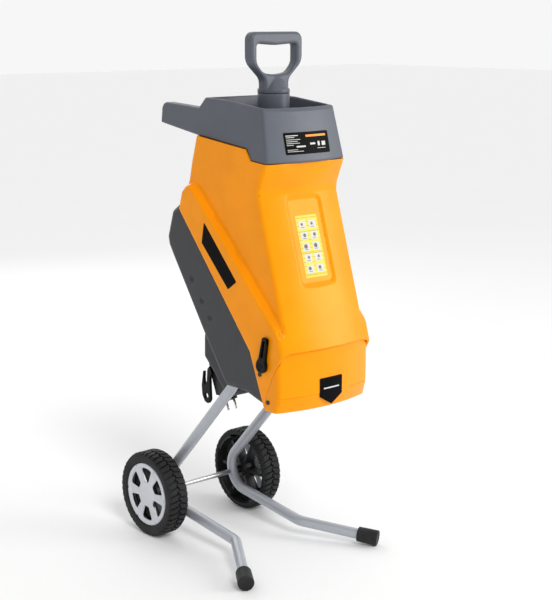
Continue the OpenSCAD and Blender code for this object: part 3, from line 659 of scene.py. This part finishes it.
def lock_lever(x, y, z):
    """Lever on the right flank: a pivot boss and a slotted arm."""
    side = np.abs(x)
    axis = np.subtract(LEVER_TIP, LEVER_PIVOT)
    length = math.hypot(*axis)
    c, s = axis / length
    along = (y - LEVER_PIVOT[0]) * c + (z - LEVER_PIVOT[1]) * s
    across = (y - LEVER_PIVOT[0]) * s - (z - LEVER_PIVOT[1]) * c
    half = 8.8 - along * 1.8 / length
    arm = meet(np.abs(across) - half, between(along, 0, length + 6), 4)
    boss = np.hypot(along, across) - 12.5
    shape = join(arm, boss, 4)
    face = SKIRT_HW + 7.8 - 0.02 * along
    lever = meet(shape, between(side, SKIRT_HW + 0.5, face), 1.6)
    slot = meet(np.abs(across) - 3.4, between(along, 15, length + 1), 3.2)
    lever = cut(lever, slot, 0.8)
    dish = np.hypot(along, across) - 7
    lever = cut(lever, meet(dish, SKIRT_HW + 6.2 - side, 1), 1)
    knob = meet(np.hypot(along, across) - 4.2, between(side, SKIRT_HW, SKIRT_HW + 7.4), 1)
    turn = meet(np.abs(along - across) - 1.0, SKIRT_HW + 6.6 - side)
    return join(lever, cut(knob, turn))


def cord_hook(x, y, z):
    """Flat hook that keeps the lead from being pulled out of the inlet."""
    plate = outline(y, z, soften(
        [(50, 344), (58, 336), (60, 312), (66, 300), (68, 316), (67, 330), (71, 330),
         (76, 300), (74, 282), (66, 270), (56, 268), (48, 276), (49, 296), (50, 320),
         (44, 330)],
        [3, 5, 4, 2, 4, 2, 2, 8, 9, 8, 8, 8, 8, 6, 4]))
    plate = cut(plate, np.hypot(y - 61, z - 283) - 5)
    body = meet(plate, between(x, -54, -48), 1.8)
    return join(body, pin_x(x, y, z, (50, 336), -54, -45, 4, 0.8), 1)


def toe_end():
    """The toe cap's far end and the direction of its tube, on the right."""
    points = leg_corners()
    d = np.subtract(points[3], points[2])
    d = d / np.linalg.norm(d)
    return np.array([TOE[0], TOE[1], CAP_R * math.sqrt(1 - d[2] ** 2)]), d


def toe_caps(x, y, z):
    """Tapered rubber cap with two grooves and a shallow dish in its end."""
    side = np.abs(x)
    end, d = toe_end()
    along, radial = axial(side, y, z, end, -d)
    body = meet(radial - CAP_R + 0.02 * along, between(along, 0, CAP_LENGTH), 2.4)
    for ring in (CAP_LENGTH - 7, CAP_LENGTH - 3.5):
        body = cut(body, np.hypot(along - ring, radial - CAP_R + 0.2) - 0.8, 0.3)
    dish = meet(radial - 11, along - 0.8)
    body = cut(body, dish, 0.5)
    return cut(body, meet(radial - TUBE_R - 0.1, 14 - along))


# ---- stand


def leg_corners():
    """Corners of the right leg's centre line, from the socket to the toe."""
    run = np.array([-math.cos(RUN_FALL), -math.sin(RUN_FALL)])
    centre, r = np.array(LEG_BEND[:2]), LEG_BEND[2]
    up_touch = centre + r * np.array([math.sin(LEG_LEAN), math.cos(LEG_LEAN)])
    run_touch = centre + r * np.array([math.sin(RUN_FALL), -math.cos(RUN_FALL)])
    rise, _ = np.linalg.solve(np.stack([LEG_UP, -run], 1), run_touch - up_touch)
    corner = up_touch + rise * LEG_UP
    top = SOCKET_MOUTH + (SOCKET_DEPTH - 4) * LEG_UP
    foot_z = run_touch[1] + (FOOT_BEND_Y - run_touch[0]) / run[0] * run[1]
    return [
        np.array([LEG_X, *top]), np.array([LEG_X, *corner]),
        np.array([LEG_X, FOOT_BEND_Y, foot_z]), np.array(TOE, float),
    ]


def tube_line(short=5):
    """Centre line of the right leg, ending short of its toe cap's end."""
    points = leg_corners()
    run = points[3] - points[2]
    points[3] = points[3] - short * run / np.linalg.norm(run)
    return rounded_path(points, [LEG_BEND[2], FOOT_BEND_R])


def rounded_path(corners, radii, spacing=2.0):
    """Centre line with its corners turned on their radii."""
    path = [corners[0]]
    for i, r in enumerate(radii, 1):
        p = corners[i]
        a = (corners[i - 1] - p) / np.linalg.norm(corners[i - 1] - p)
        b = (corners[i + 1] - p) / np.linalg.norm(corners[i + 1] - p)
        half = math.acos(a @ b) / 2
        centre = p + (a + b) / np.linalg.norm(a + b) * r / math.sin(half)
        start = p + a * r / math.tan(half) - centre
        end = p + b * r / math.tan(half) - centre
        turn = math.pi - 2 * half
        steps = max(4, int(r * turn / spacing))
        for k in range(steps + 1):
            t = k / steps
            arc = start * math.sin((1 - t) * turn) + end * math.sin(t * turn)
            path.append(centre + arc / math.sin(turn))
    path.append(corners[-1])
    return path


def sweep(path, r, sides=40):
    """Round tube along a path, closed at its ends."""
    points, faces = [], []
    normal = np.cross(path[1] - path[0], [1, 0.2, 0])
    for i, p in enumerate(path):
        ahead = path[min(i + 1, len(path) - 1)] - path[max(i - 1, 0)]
        ahead = ahead / np.linalg.norm(ahead)
        normal = normal - ahead * (normal @ ahead)
        normal = normal / np.linalg.norm(normal)
        other = np.cross(ahead, normal)
        for k in range(sides):
            a = 2 * math.pi * k / sides
            points.append(p + r * (normal * math.cos(a) + other * math.sin(a)))
    rings = len(path)
    for i in range(rings - 1):
        for k in range(sides):
            a, b = i * sides + k, i * sides + (k + 1) % sides
            faces.append([a, b, b + sides, a + sides])
    faces.append(list(range(sides))[::-1])
    faces.append(list(range((rings - 1) * sides, rings * sides)))
    return points, faces


def mirrored(points, faces):
    """The same mesh on the other side of X = 0."""
    return [(-p[0], p[1], p[2]) for p in points], [list(f)[::-1] for f in faces]


# ---- wheels


def wheel_polar(x, y, z):
    """Width from the inner face, radius and angle about the axle."""
    width = np.abs(x) - WHEEL_BACK
    radius = np.hypot(y - WHEEL[1], z - WHEEL[2])
    angle = np.arctan2(y - WHEEL[1], z - WHEEL[2])
    return width, radius, angle


def in_sector(angle):
    """Angle from the middle of the nearest spoke window."""
    pitch = 2 * math.pi / SPOKES
    return (angle + pitch / 2) % pitch - pitch / 2


def tyre(x, y, z):
    """Tyre with two staggered rows of lugs and a stepped lane between them."""
    width, radius, angle = wheel_polar(x, y, z)
    mid = WHEEL_W / 2
    body = outline(radius, width, soften(
        [(71, 1.5), (75, 0.5), (79.5, 1.2), (82.5, 6.5), (82.5, WHEEL_W - 6.5),
         (79.5, WHEEL_W - 1.2), (75, WHEEL_W - 0.5), (66, WHEEL_W - 1.2), (61, WHEEL_W - 4),
         (61, 33), (71, 22)],
        [0.5, 3, 2, 3, 3, 2, 3, 4, 1, 0.5, 0.5]))
    lugs = 42
    pitch = 2 * math.pi / lugs
    outer_row = width > mid
    lean = np.abs(width - mid) * 0.0025
    turned = angle + np.where(outer_row, pitch / 2, 0) + lean
    off = np.abs((turned / pitch) % 1 - 0.5) * pitch * radius
    grooves = off - 1.8
    lane = np.abs(width - mid - 1.5 * np.sign(np.sin(angle * lugs))) - 1.5
    tread = meet(join(grooves, lane, 0.8), 78.2 - radius, 0.5)
    return cut(body, tread, 0.7)


def rim(x, y, z):
    """Drum with a hub, webs behind its spokes and a windowed disc."""
    width, radius, angle = wheel_polar(x, y, z)
    outer = 61 + np.clip((33 - width) / 11, 0, 1) * 10
    band = meet(between(radius, outer - 4, outer), between(width, 2, 39), 0.8)
    hub = meet(radius - 15, between(width, 2, 32), 1.5)
    spoke_turn = in_sector(angle + math.pi / SPOKES)
    spoke = meet(np.abs(radius * np.sin(spoke_turn)) - 3.2, between(width, 8, 30), 1)
    spoke = meet(spoke, between(radius, 12, 60))
    disc = meet(between(radius, 12, 57), between(width, 27, 30), 0.8)
    across = np.abs(radius * np.sin(in_sector(angle)))
    window = meet(between(radius, 22, 51), across - 3 - 0.32 * radius, 3)
    disc = cut(disc, window, 0.8)
    body = join(join(band, hub, 1), join(spoke, disc, 1), 2)
    body = cut(body, radius - 5.05)
    return cut(body, meet(radius - 10.5, 31.5 - width))


def trim(x, y, z):
    """Light cover disc with six windows and a notch at each spoke's end."""
    width, radius, angle = wheel_polar(x, y, z)
    base = WHEEL_W - 6
    body = outline(radius, width, soften(
        [(-5, base), (60.8, base), (60.8, base + 3.4), (59, base + 4.3), (54, base + 4.3),
         (51.5, base + 2.6), (26, base + 3.4), (20, base + 5.4), (-5, base + 5.9)],
        [0, 0.4, 1, 1.5, 1.2, 2, 8, 6, 0]))
    sector = in_sector(angle)
    across = np.abs(radius * np.sin(sector))
    window = meet(across - (radius * np.cos(sector) - 12) * 0.38 - 2, between(radius, 24, 51.5), 5)
    body = cut(body, window, 1.6)
    spoke_turn = in_sector(angle + math.pi / SPOKES)
    notch = meet(np.abs(radius * np.sin(spoke_turn)) - 3.5, 57.6 - radius, 0.8)
    body = cut(body, meet(notch, base + 2.4 - width), 0.5)
    core = meet(radius - 15, between(width, base - 5, base + 1), 1)
    return cut(join(body, core, 1), meet(radius - 10.5, width - base - 3))


# ---- labels


def plate_on(front, shape, thickness):
    """Thin plate of a shape lying on a front surface."""
    return meet(shape, between(front, -0.4, thickness), 0.15)


def rounded_box(u, v, half_u, half_v, r):
    return meet(np.abs(u) - half_u, np.abs(v) - half_v, r)


def rating_label(x, y, z):
    low, high = cad_box("rating_label")
    shape = rounded_box(x, z - (low[2] + high[2]) / 2, high[0], (high[2] - low[2]) / 2, 2.5)
    return plate_on(bulge(x, y, z, *HOPPER_FRONT, HOPPER_HW, CROWN), shape, RATING_THICK)


def front_badge(x, y, z):
    shape = outline(x, z, soften([(-26, 369), (-26, 336), (0, 320), (26, 336), (26, 369)],
                                 [2] * 5))
    return plate_on(bulge(x, y, z, *COVER_FRONT, SKIRT_HW, COVER_CROWN), shape, BADGE_THICK)


def safety_sticker(x, y, z):
    up, out = on_panel(y, z, STICKER_Z)
    return meet(rounded_box(x, up, 25, 55, 2), between(out, -0.3, STICKER_THICK), 0.1)


def side_decals(x, y, z):
    shape = outline(y, z, soften([(-95, 531), (-72, 515), (2, 589), (-5, 626)], [1] * 4))
    return meet(shape, between(np.abs(x), SKIRT_HW - 0.3, SKIRT_HW + 0.6), 0.1)


def marks(name, shapes, place, material, slot):
    """Flat printed marks: convex outlines in (u, v), laid on by place()."""
    points, faces = [], []
    for shape in shapes:
        n = len(shape)
        first = len(points)
        points += [place(u, v, h) for h in (0.0, INK_THICK) for u, v in shape]
        faces.append([first + k for k in range(n)][::-1])
        faces.append([first + n + k for k in range(n)])
        for k in range(n):
            a, b = first + k, first + (k + 1) % n
            faces.append([a, b, b + n, a + n])
    dress(new_object(name, points, faces), UPPER, material, slot)


def strip(u, v, w, h, pieces=1):
    """A bar as a row of rectangles, short enough to follow a curved front."""
    return [
        [(u + w * i / pieces, v), (u + w * (i + 1) / pieces, v),
         (u + w * (i + 1) / pieces, v + h), (u + w * i / pieces, v + h)]
        for i in range(pieces)
    ]


def disc_mark(u, v, r, n=20):
    """A round dot as a polygon."""
    return [(u + r * math.cos(2 * math.pi * k / n), v + r * math.sin(2 * math.pi * k / n))
            for k in range(n)]


def on_hopper(u, v, h):
    return on_bulge(u, v, *HOPPER_FRONT, HOPPER_HW, CROWN, RATING_THICK + h)


def on_cover(u, v, h):
    return on_bulge(u, v, *COVER_FRONT, SKIRT_HW, COVER_CROWN, BADGE_THICK + h)


def on_sticker(u, v, h):
    """Point on the safety sticker, v up from its middle and h proud of it."""
    origin, along, out = panel_axes(STICKER_Z)
    p = origin + along * v + out * (STICKER_THICK + h)
    return (u, p[1], p[2])


def on_sticker_panels(u, v, h):
    return on_sticker(u, v, h + INK_THICK)


# ---- materials


def new_material(name, **values):
    """Principled material with plain values set on the shader itself."""
    made = bpy.data.materials.new(name)
    made.use_nodes = True
    shader = made.node_tree.nodes["Principled BSDF"]
    for socket, value in values.items():
        shader.inputs[socket.replace("_", " ")].default_value = value
    return made, shader


def add(made, kind, **values):
    """New shader node, with its sockets or its settings given by name."""
    node = made.node_tree.nodes.new(kind)
    for key, value in values.items():
        if key in node.inputs:
            node.inputs[key].default_value = value
        else:
            setattr(node, key, value)
    return node


def noise(made, scale, detail=3.0, stretch=(1, 1, 1)):
    """Noise over the piece's own coordinates, in metres."""
    links = made.node_tree.links
    where = add(made, "ShaderNodeTexCoord")
    scaled = add(made, "ShaderNodeMapping")
    scaled.inputs["Scale"].default_value = stretch
    links.new(where.outputs["Object"], scaled.inputs["Vector"])
    cloud = add(made, "ShaderNodeTexNoise", Scale=scale, Detail=detail)
    links.new(scaled.outputs["Vector"], cloud.inputs["Vector"])
    return cloud.outputs["Fac"]


def blend_colours(made, shader, factor, dark, light):
    """Base colour that wanders between two colours."""
    ramp = add(made, "ShaderNodeValToRGB")
    ramp.color_ramp.elements[0].position = 0.35
    ramp.color_ramp.elements[1].position = 0.65
    ramp.color_ramp.elements[0].color = (*dark, 1)
    ramp.color_ramp.elements[1].color = (*light, 1)
    made.node_tree.links.new(factor, ramp.inputs["Fac"])
    made.node_tree.links.new(ramp.outputs["Color"], shader.inputs["Base Color"])


def vary_roughness(made, shader, factor, low, high):
    spread = add(made, "ShaderNodeMapRange")
    spread.inputs["To Min"].default_value = low
    spread.inputs["To Max"].default_value = high
    made.node_tree.links.new(factor, spread.inputs["Value"])
    made.node_tree.links.new(spread.outputs["Result"], shader.inputs["Roughness"])


def bumps(made, shader, heights):
    """Bump from several noises, each with a strength and a depth in metres."""
    previous = None
    for height, strength, depth in heights:
        node = add(made, "ShaderNodeBump", Strength=strength, Distance=depth)
        made.node_tree.links.new(height, node.inputs["Height"])
        if previous:
            made.node_tree.links.new(previous.outputs["Normal"], node.inputs["Normal"])
        previous = node
    made.node_tree.links.new(previous.outputs["Normal"], shader.inputs["Normal"])


def shade(colour, share):
    return tuple(c * share for c in colour)


def moulded(name, colour, rough, grain=0.12, spread=0.06, **values):
    """Moulded plastic: faint clouding, fine grain and a little wear."""
    made, shader = new_material(name, **values)
    dark, light = shade(colour, 1 - spread), shade(colour, 1 + spread / 2)
    blend_colours(made, shader, noise(made, 14, 4), dark, light)
    vary_roughness(made, shader, noise(made, 60, 5), rough - 0.05, rough + 0.06)
    bumps(made, shader, [(noise(made, 1400, 2), grain, 0.0002), (noise(made, 9, 1), 0.08, 0.002)])
    return made


PLASTICS = {
    "orange_plastic": dict(colour=(0.95, 0.305, 0.0), rough=0.3, Specular_IOR_Level=0.4,
                           Specular_Tint=(1.0, 0.68, 0.25, 1)),
    "grey_plastic": dict(colour=(0.085, 0.095, 0.118), rough=0.42, grain=0.2),
    "housing_plastic": dict(colour=(0.021, 0.0225, 0.027), rough=0.48, grain=0.3),
    "black_plastic": dict(colour=(0.012, 0.012, 0.013), rough=0.4, grain=0.2),
    "black_gloss": dict(colour=(0.003, 0.003, 0.003), rough=0.2, grain=0.05,
                        Specular_IOR_Level=0.16),
    "label_black": dict(colour=(0.002, 0.002, 0.0025), rough=0.42, grain=0.03,
                        Specular_IOR_Level=0.05),
    "label_yellow": dict(colour=(0.78, 0.62, 0.05), rough=0.45, grain=0.03),
    "print_white": dict(colour=(0.62, 0.62, 0.58), rough=0.5, grain=0.03),
    "print_grey": dict(colour=(0.12, 0.12, 0.13), rough=0.5, grain=0.03),
    "print_orange": dict(colour=(0.9, 0.3, 0.02), rough=0.5, grain=0.03),
    "trim_white": dict(colour=(0.6, 0.62, 0.66), rough=0.38, grain=0.08, spread=0.03),
    "rim_black": dict(colour=(0.01, 0.01, 0.011), rough=0.5, grain=0.2),
    "chute_plastic": dict(colour=(0.16, 0.17, 0.18), rough=0.45),
    "fan_plastic": dict(colour=(0.5, 0.5, 0.48), rough=0.45),
    "button_green": dict(colour=(0.02, 0.3, 0.05), rough=0.35),
    "button_red": dict(colour=(0.5, 0.015, 0.012), rough=0.35),
    "button_grey": dict(colour=(0.2, 0.2, 0.2), rough=0.4),
    "carbon": dict(colour=(0.02, 0.02, 0.022), rough=0.6, grain=0.3),
}


def rubber(name, colour, rough):
    """Rubber: dull, dusty in places, with a fine pitted grain."""
    made, shader = new_material(name, Specular_IOR_Level=0.3)
    blend_colours(made, shader, noise(made, 30, 6), shade(colour, 0.8), shade(colour, 1.5))
    vary_roughness(made, shader, noise(made, 45, 4), rough - 0.08, rough + 0.08)
    bumps(made, shader, [(noise(made, 1100, 3), 0.35, 0.0003), (noise(made, 200, 2), 0.15, 0.0004)])
    return made


RUBBERS = {
    "tyre_rubber": dict(colour=(0.010, 0.010, 0.011), rough=0.62),
    "rubber_cap": dict(colour=(0.012, 0.012, 0.012), rough=0.55),
}


def metal(name, colour, rough, streak=(1, 1, 1), grain=0.05):
    """Metal with a brushed or turned grain and cloudy gloss."""
    made, shader = new_material(name, Metallic=1.0)
    blend_colours(made, shader, noise(made, 25, 4), shade(colour, 0.88), colour)
    vary_roughness(made, shader, noise(made, 80, 5, streak), rough - 0.07, rough + 0.08)
    bumps(made, shader, [(noise(made, 900, 2, streak), grain, 0.0002)])
    return made


METALS = {
    "steel": dict(colour=(0.62, 0.62, 0.63), rough=0.3, streak=(1, 8, 8)),
    "blade_steel": dict(colour=(0.7, 0.71, 0.72), rough=0.22, streak=(8, 1, 1)),
    "black_steel": dict(colour=(0.06, 0.06, 0.065), rough=0.42),
    "motor_steel": dict(colour=(0.42, 0.43, 0.45), rough=0.4, streak=(1, 6, 6)),
    "cast_aluminium": dict(colour=(0.55, 0.56, 0.57), rough=0.5, grain=0.25),
    "copper": dict(colour=(0.72, 0.3, 0.14), rough=0.32, streak=(12, 1, 1), grain=0.2),
    "brass": dict(colour=(0.75, 0.52, 0.2), rough=0.3),
    "plated_pin": dict(colour=(0.78, 0.76, 0.7), rough=0.22),
}


def tube_paint():
    """Silver-grey paint with fine metallic flake."""
    made, shader = new_material("tube_paint", Metallic=0.45, Coat_Weight=0.25, Coat_Roughness=0.2)
    blend_colours(made, shader, noise(made, 2600, 1), (0.36, 0.38, 0.415), (0.5, 0.52, 0.56))
    vary_roughness(made, shader, noise(made, 50, 4), 0.34, 0.46)
    bumps(made, shader, [(noise(made, 1500, 2), 0.06, 0.0002), (noise(made, 40, 2), 0.05, 0.001)])
    return made


def floor_grey():
    made, shader = new_material("floor_grey", Roughness=0.7)
    blend_colours(made, shader, noise(made, 3, 2), (0.915, 0.915, 0.915), (0.92, 0.92, 0.92))
    return made


def all_finishes():
    """Every material by its name. The record's slots have the same names."""
    finishes = {"tube_paint": tube_paint()}
    for kind, looks in ((moulded, PLASTICS), (rubber, RUBBERS), (metal, METALS)):
        for name, look in looks.items():
            finishes[name] = kind(name, **look)
    return finishes


# ---- the pieces


def build_shells(paint):
    """Casing, front cover, hopper, motor housing and plunger."""
    pieces = [
        ("casing_shell", casing, "casing", UPPER, "orange_plastic", 2.4),
        ("front_cover_shell", front_cover, "front_cover", UPPER, "orange_plastic", 1.5),
        ("hopper_shell", hopper, "hopper", UPPER, "grey_plastic", 2.0),
        ("motor_housing_shell", housing, "motor_housing", STAND, "housing_plastic", 2.4),
        ("plunger_handle", plunger_grip, "plunger_grip", "plunger", "grey_plastic", 1.4),
        ("plunger_tube", plunger_barrel, "plunger_barrel", "plunger", "grey_plastic", 2.0),
    ]
    for name, field, node, body, slot, step in pieces:
        made = moulding(name, field, *cad_box(node), step)
        dress(made, body, paint[slot], slot, node)


def build_stand(paint):
    points, faces = sweep(tube_line(), TUBE_R)
    for side, shape in (("right", (points, faces)), ("left", mirrored(points, faces))):
        made = new_object(f"leg_tube_{side}", *shape, 50)
        dress(made, STAND, paint["tube_paint"], "tube_paint", f"leg_{side}")
    low, high = cad_box("toe_caps")
    for side, box in (("right", (low * [0, 1, 1], high)), ("left", (low, high * [0, 1, 1]))):
        made = moulding(f"toe_cap_{side}", toe_caps, *box, 1.0)
        nodes = ["toe_caps"] if side == "right" else []
        dress(made, STAND, paint["rubber_cap"], "rubber_cap", *nodes)


def build_small_parts(paint):
    for side in ("left", "right"):
        made = moulding(f"casing_latch_{side}", lock_lever, *cad_box(f"lock_lever_{side}"), 0.8)
        dress(made, f"lock_lever_{side}", paint["black_gloss"], "black_gloss", f"lock_lever_{side}")
    made = moulding("cord_holder", cord_hook, *cad_box("cord_hook"), 0.9)
    dress(made, STAND, paint["black_gloss"], "black_plastic", "cord_hook")


def build_wheels(paint):
    parts = [
        ("wheel_tyre", tyre, "tyre", "tyre_rubber", 1.3),
        ("wheel_core", rim, "rim", "rim_black", 1.5),
        ("wheel_trim", trim, "trim", "trim_white", 1.1),
    ]
    for name, field, node, slot, step in parts:
        low, high = cad_box(f"{node}_right")
        points, quads = contour(field, low, high, step * (1))
        faces = quads.tolist()
        for side, shape in (("right", (points, faces)), ("left", mirrored(points, faces))):
            made = new_object(f"{name}_{side}", *shape)
            dress(made, f"wheel_{side}", paint[slot], slot, f"{node}_{side}")


def build_labels(paint):
    """Black and yellow label plates, and the flashes on the skirt's sides."""
    plates = [
        ("rating_plate", rating_label, "rating_label", "label_black", 0.7),
        ("safety_plate", safety_sticker, "safety_sticker", "label_yellow", 0.7),
        ("front_shield", front_badge, "front_badge", "label_black", 0.7),
    ]
    for name, field, node, slot, step in plates:
        made = moulding(name, field, *cad_box(node), step)
        dress(made, UPPER, paint[slot], slot, node)
    low, high = cad_box("side_decals")
    for side, x in (("right", SKIRT_HW), ("left", -SKIRT_HW)):
        box = (np.array([x - 1, low[1], low[2]]), np.array([x + 1, high[1], high[2]]))
        made = moulding(f"side_flash_{side}", side_decals, *box, 0.9)
        nodes = ["side_decals"] if side == "right" else []
        dress(made, UPPER, paint["label_black"], "label_black", *nodes)


def print_rating(paint):
    """Plain bars in place of the rating label's and the badge's print."""
    left = -47
    lines = strip(left, 785, 26, 1.4, 4) + strip(left, 782.2, 18, 1.0, 3)
    for row, width in enumerate((30, 24, 28, 14)):
        lines += strip(left, 778.5 - 3.1 * row, width, 0.9, 4)
    lines += strip(left + 20, 765.6, 20, 2.6, 3)
    for row, width in enumerate((22, 34)):
        lines += strip(left, 761.5 - 2.8 * row, width, 0.8, 5)
    lines += strip(4, 769, 12, 3.2, 2) + strip(22, 766.5, 5, 7.5) + strip(32, 766.5, 9, 7)
    lines += strip(20, 762, 20, 0.8, 3)
    marks("rating_print", lines, on_hopper, paint["print_white"], "label_black")
    bar = strip(-4, 782.5, 48, 3.6, 7)
    marks("rating_bar", bar, on_hopper, paint["print_orange"], "label_black")
    bar = strip(-18, 349, 36, 2.4, 6)
    marks("shield_bar", bar, on_cover, paint["trim_white"], "label_black")


def print_safety(paint):
    """Pale squares with a dot and a bar, in place of the sticker's symbols."""
    half_w, half_h, pitch = 8, 7, 19.5
    panels, shapes = [], []
    for row in range(5):
        for u in (-11.5, 11.5):
            v = 38 - pitch * row
            panels += strip(u - half_w, v - half_h, 2 * half_w, 2 * half_h)
            shapes.append(disc_mark(u + (row % 2) * 2 - 1, v + 1, 2.6 + (row % 3) * 0.7))
            shapes += strip(u - 4, v - 5, 8, 1.0)
    marks("safety_panels", panels, on_sticker, paint["print_white"], "label_yellow")
    marks("safety_shapes", shapes, on_sticker_panels, paint["print_grey"], "label_yellow")


def bevel_inner_parts(paint):
    """CAD nodes that are shown as they are: their finish and a fine bevel."""
    slots = {part["node"]: part["material_slot"] for part in frame["record"]["subparts"]}
    for name, node in frame["nodes"].items():
        if node.hide_render:
            continue
        slot = slots[name]
        node.data.materials.clear()
        node.data.materials.append(paint[slot])
        weld = node.modifiers.new("weld", "WELD")
        weld.merge_threshold = 0.00001
        edge = node.modifiers.new("edge", "BEVEL")
        edge.width = 0.0004
        edge.segments = 2
        edge.limit_method = "ANGLE"
        edge.angle_limit = math.radians(40)


# ---- studio


def area_light(name, place, target, size, power):
    """Soft panel lamp aimed at a target, in metres."""
    lamp = bpy.data.lights.new(name, "AREA")
    lamp.shape = "RECTANGLE"
    lamp.size, lamp.size_y = size
    lamp.energy = power
    made = bpy.data.objects.new(name, lamp)
    made.location = place
    aim = Vector(target) - Vector(place)
    made.rotation_mode = "QUATERNION"
    made.rotation_quaternion = aim.to_track_quat("-Z", "Y")
    bpy.context.scene.collection.objects.link(made)


def build_floor():
    half = 20000
    corners = [(-half, -half, 0), (half, -half, 0), (half, half, 0), (-half, half, 0)]
    floor = new_object("floor", corners, [[0, 1, 2, 3]])
    floor.data.materials.append(floor_grey())


def build_sky():
    """White surroundings, brighter behind the object than behind the camera."""
    world = bpy.data.worlds.new("studio")
    world.use_nodes = True
    sky = world.node_tree.nodes["Background"]
    sky.inputs["Color"].default_value = (1.0, 1.0, 1.0, 1)
    where = world.node_tree.nodes.new("ShaderNodeTexCoord")
    side = world.node_tree.nodes.new("ShaderNodeVectorMath")
    side.operation = "DOT_PRODUCT"
    side.inputs[1].default_value = (0.75, 0.66, 0.0)
    spread = world.node_tree.nodes.new("ShaderNodeMapRange")
    spread.interpolation_type = "SMOOTHSTEP"
    limits = {"From Min": -0.7, "From Max": 0.7, "To Min": 0.45, "To Max": 0.93}
    for socket, value in limits.items():
        spread.inputs[socket].default_value = value
    links = world.node_tree.links
    links.new(where.outputs["Generated"], side.inputs[0])
    links.new(side.outputs["Value"], spread.inputs["Value"])
    links.new(spread.outputs["Result"], sky.inputs["Strength"])
    bpy.context.scene.world = world


def build_lights():
    """A soft sun and three panels."""
    middle = (cad_low + cad_high) / 2
    sun = bpy.data.lights.new("sun", "SUN")
    sun.energy = 1.25
    sun.angle = math.radians(18)
    key = bpy.data.objects.new("sun", sun)
    key.rotation_mode = "QUATERNION"
    key.rotation_quaternion = Vector((0.3, 1.0, -0.9)).to_track_quat("-Z", "Y")
    bpy.context.scene.collection.objects.link(key)
    area_light("panel", (1.75, -1.95, 1.15), middle, (1.3, 1.0), 26)
    area_light("fill", (-2.6, -1.4, 1.3), middle, (1.8, 1.8), 5)
    area_light("back", (0.8, 2.6, 1.6), middle, (1.6, 1.6), 10)


def build_camera():
    """Camera at the viewing angle of a product shot from the front left."""
    azimuth, elevation, distance = math.radians(-40.864), math.radians(11.68), 2.4652
    back = Vector((math.sin(azimuth) * math.cos(elevation),
                   -math.cos(azimuth) * math.cos(elevation), math.sin(elevation)))
    target = Vector((0, -0.0785, 0.4823))
    lens = bpy.data.cameras.new("camera")
    lens.lens = 81.62
    lens.sensor_width = 36
    camera = bpy.data.objects.new("camera", lens)
    camera.location = target + back * distance
    camera.rotation_mode = "QUATERNION"
    camera.rotation_quaternion = (-back).to_track_quat("-Z", "Y")
    bpy.context.scene.collection.objects.link(camera)
    bpy.context.scene.camera = camera


paint = all_finishes()
build_shells(paint)
build_stand(paint)
build_small_parts(paint)
build_wheels(paint)
build_labels(paint)
print_rating(paint)
print_safety(paint)
bevel_inner_parts(paint)
build_floor()
build_sky()
build_lights()
build_camera()
bpy.context.scene.view_settings.view_transform = "Standard"
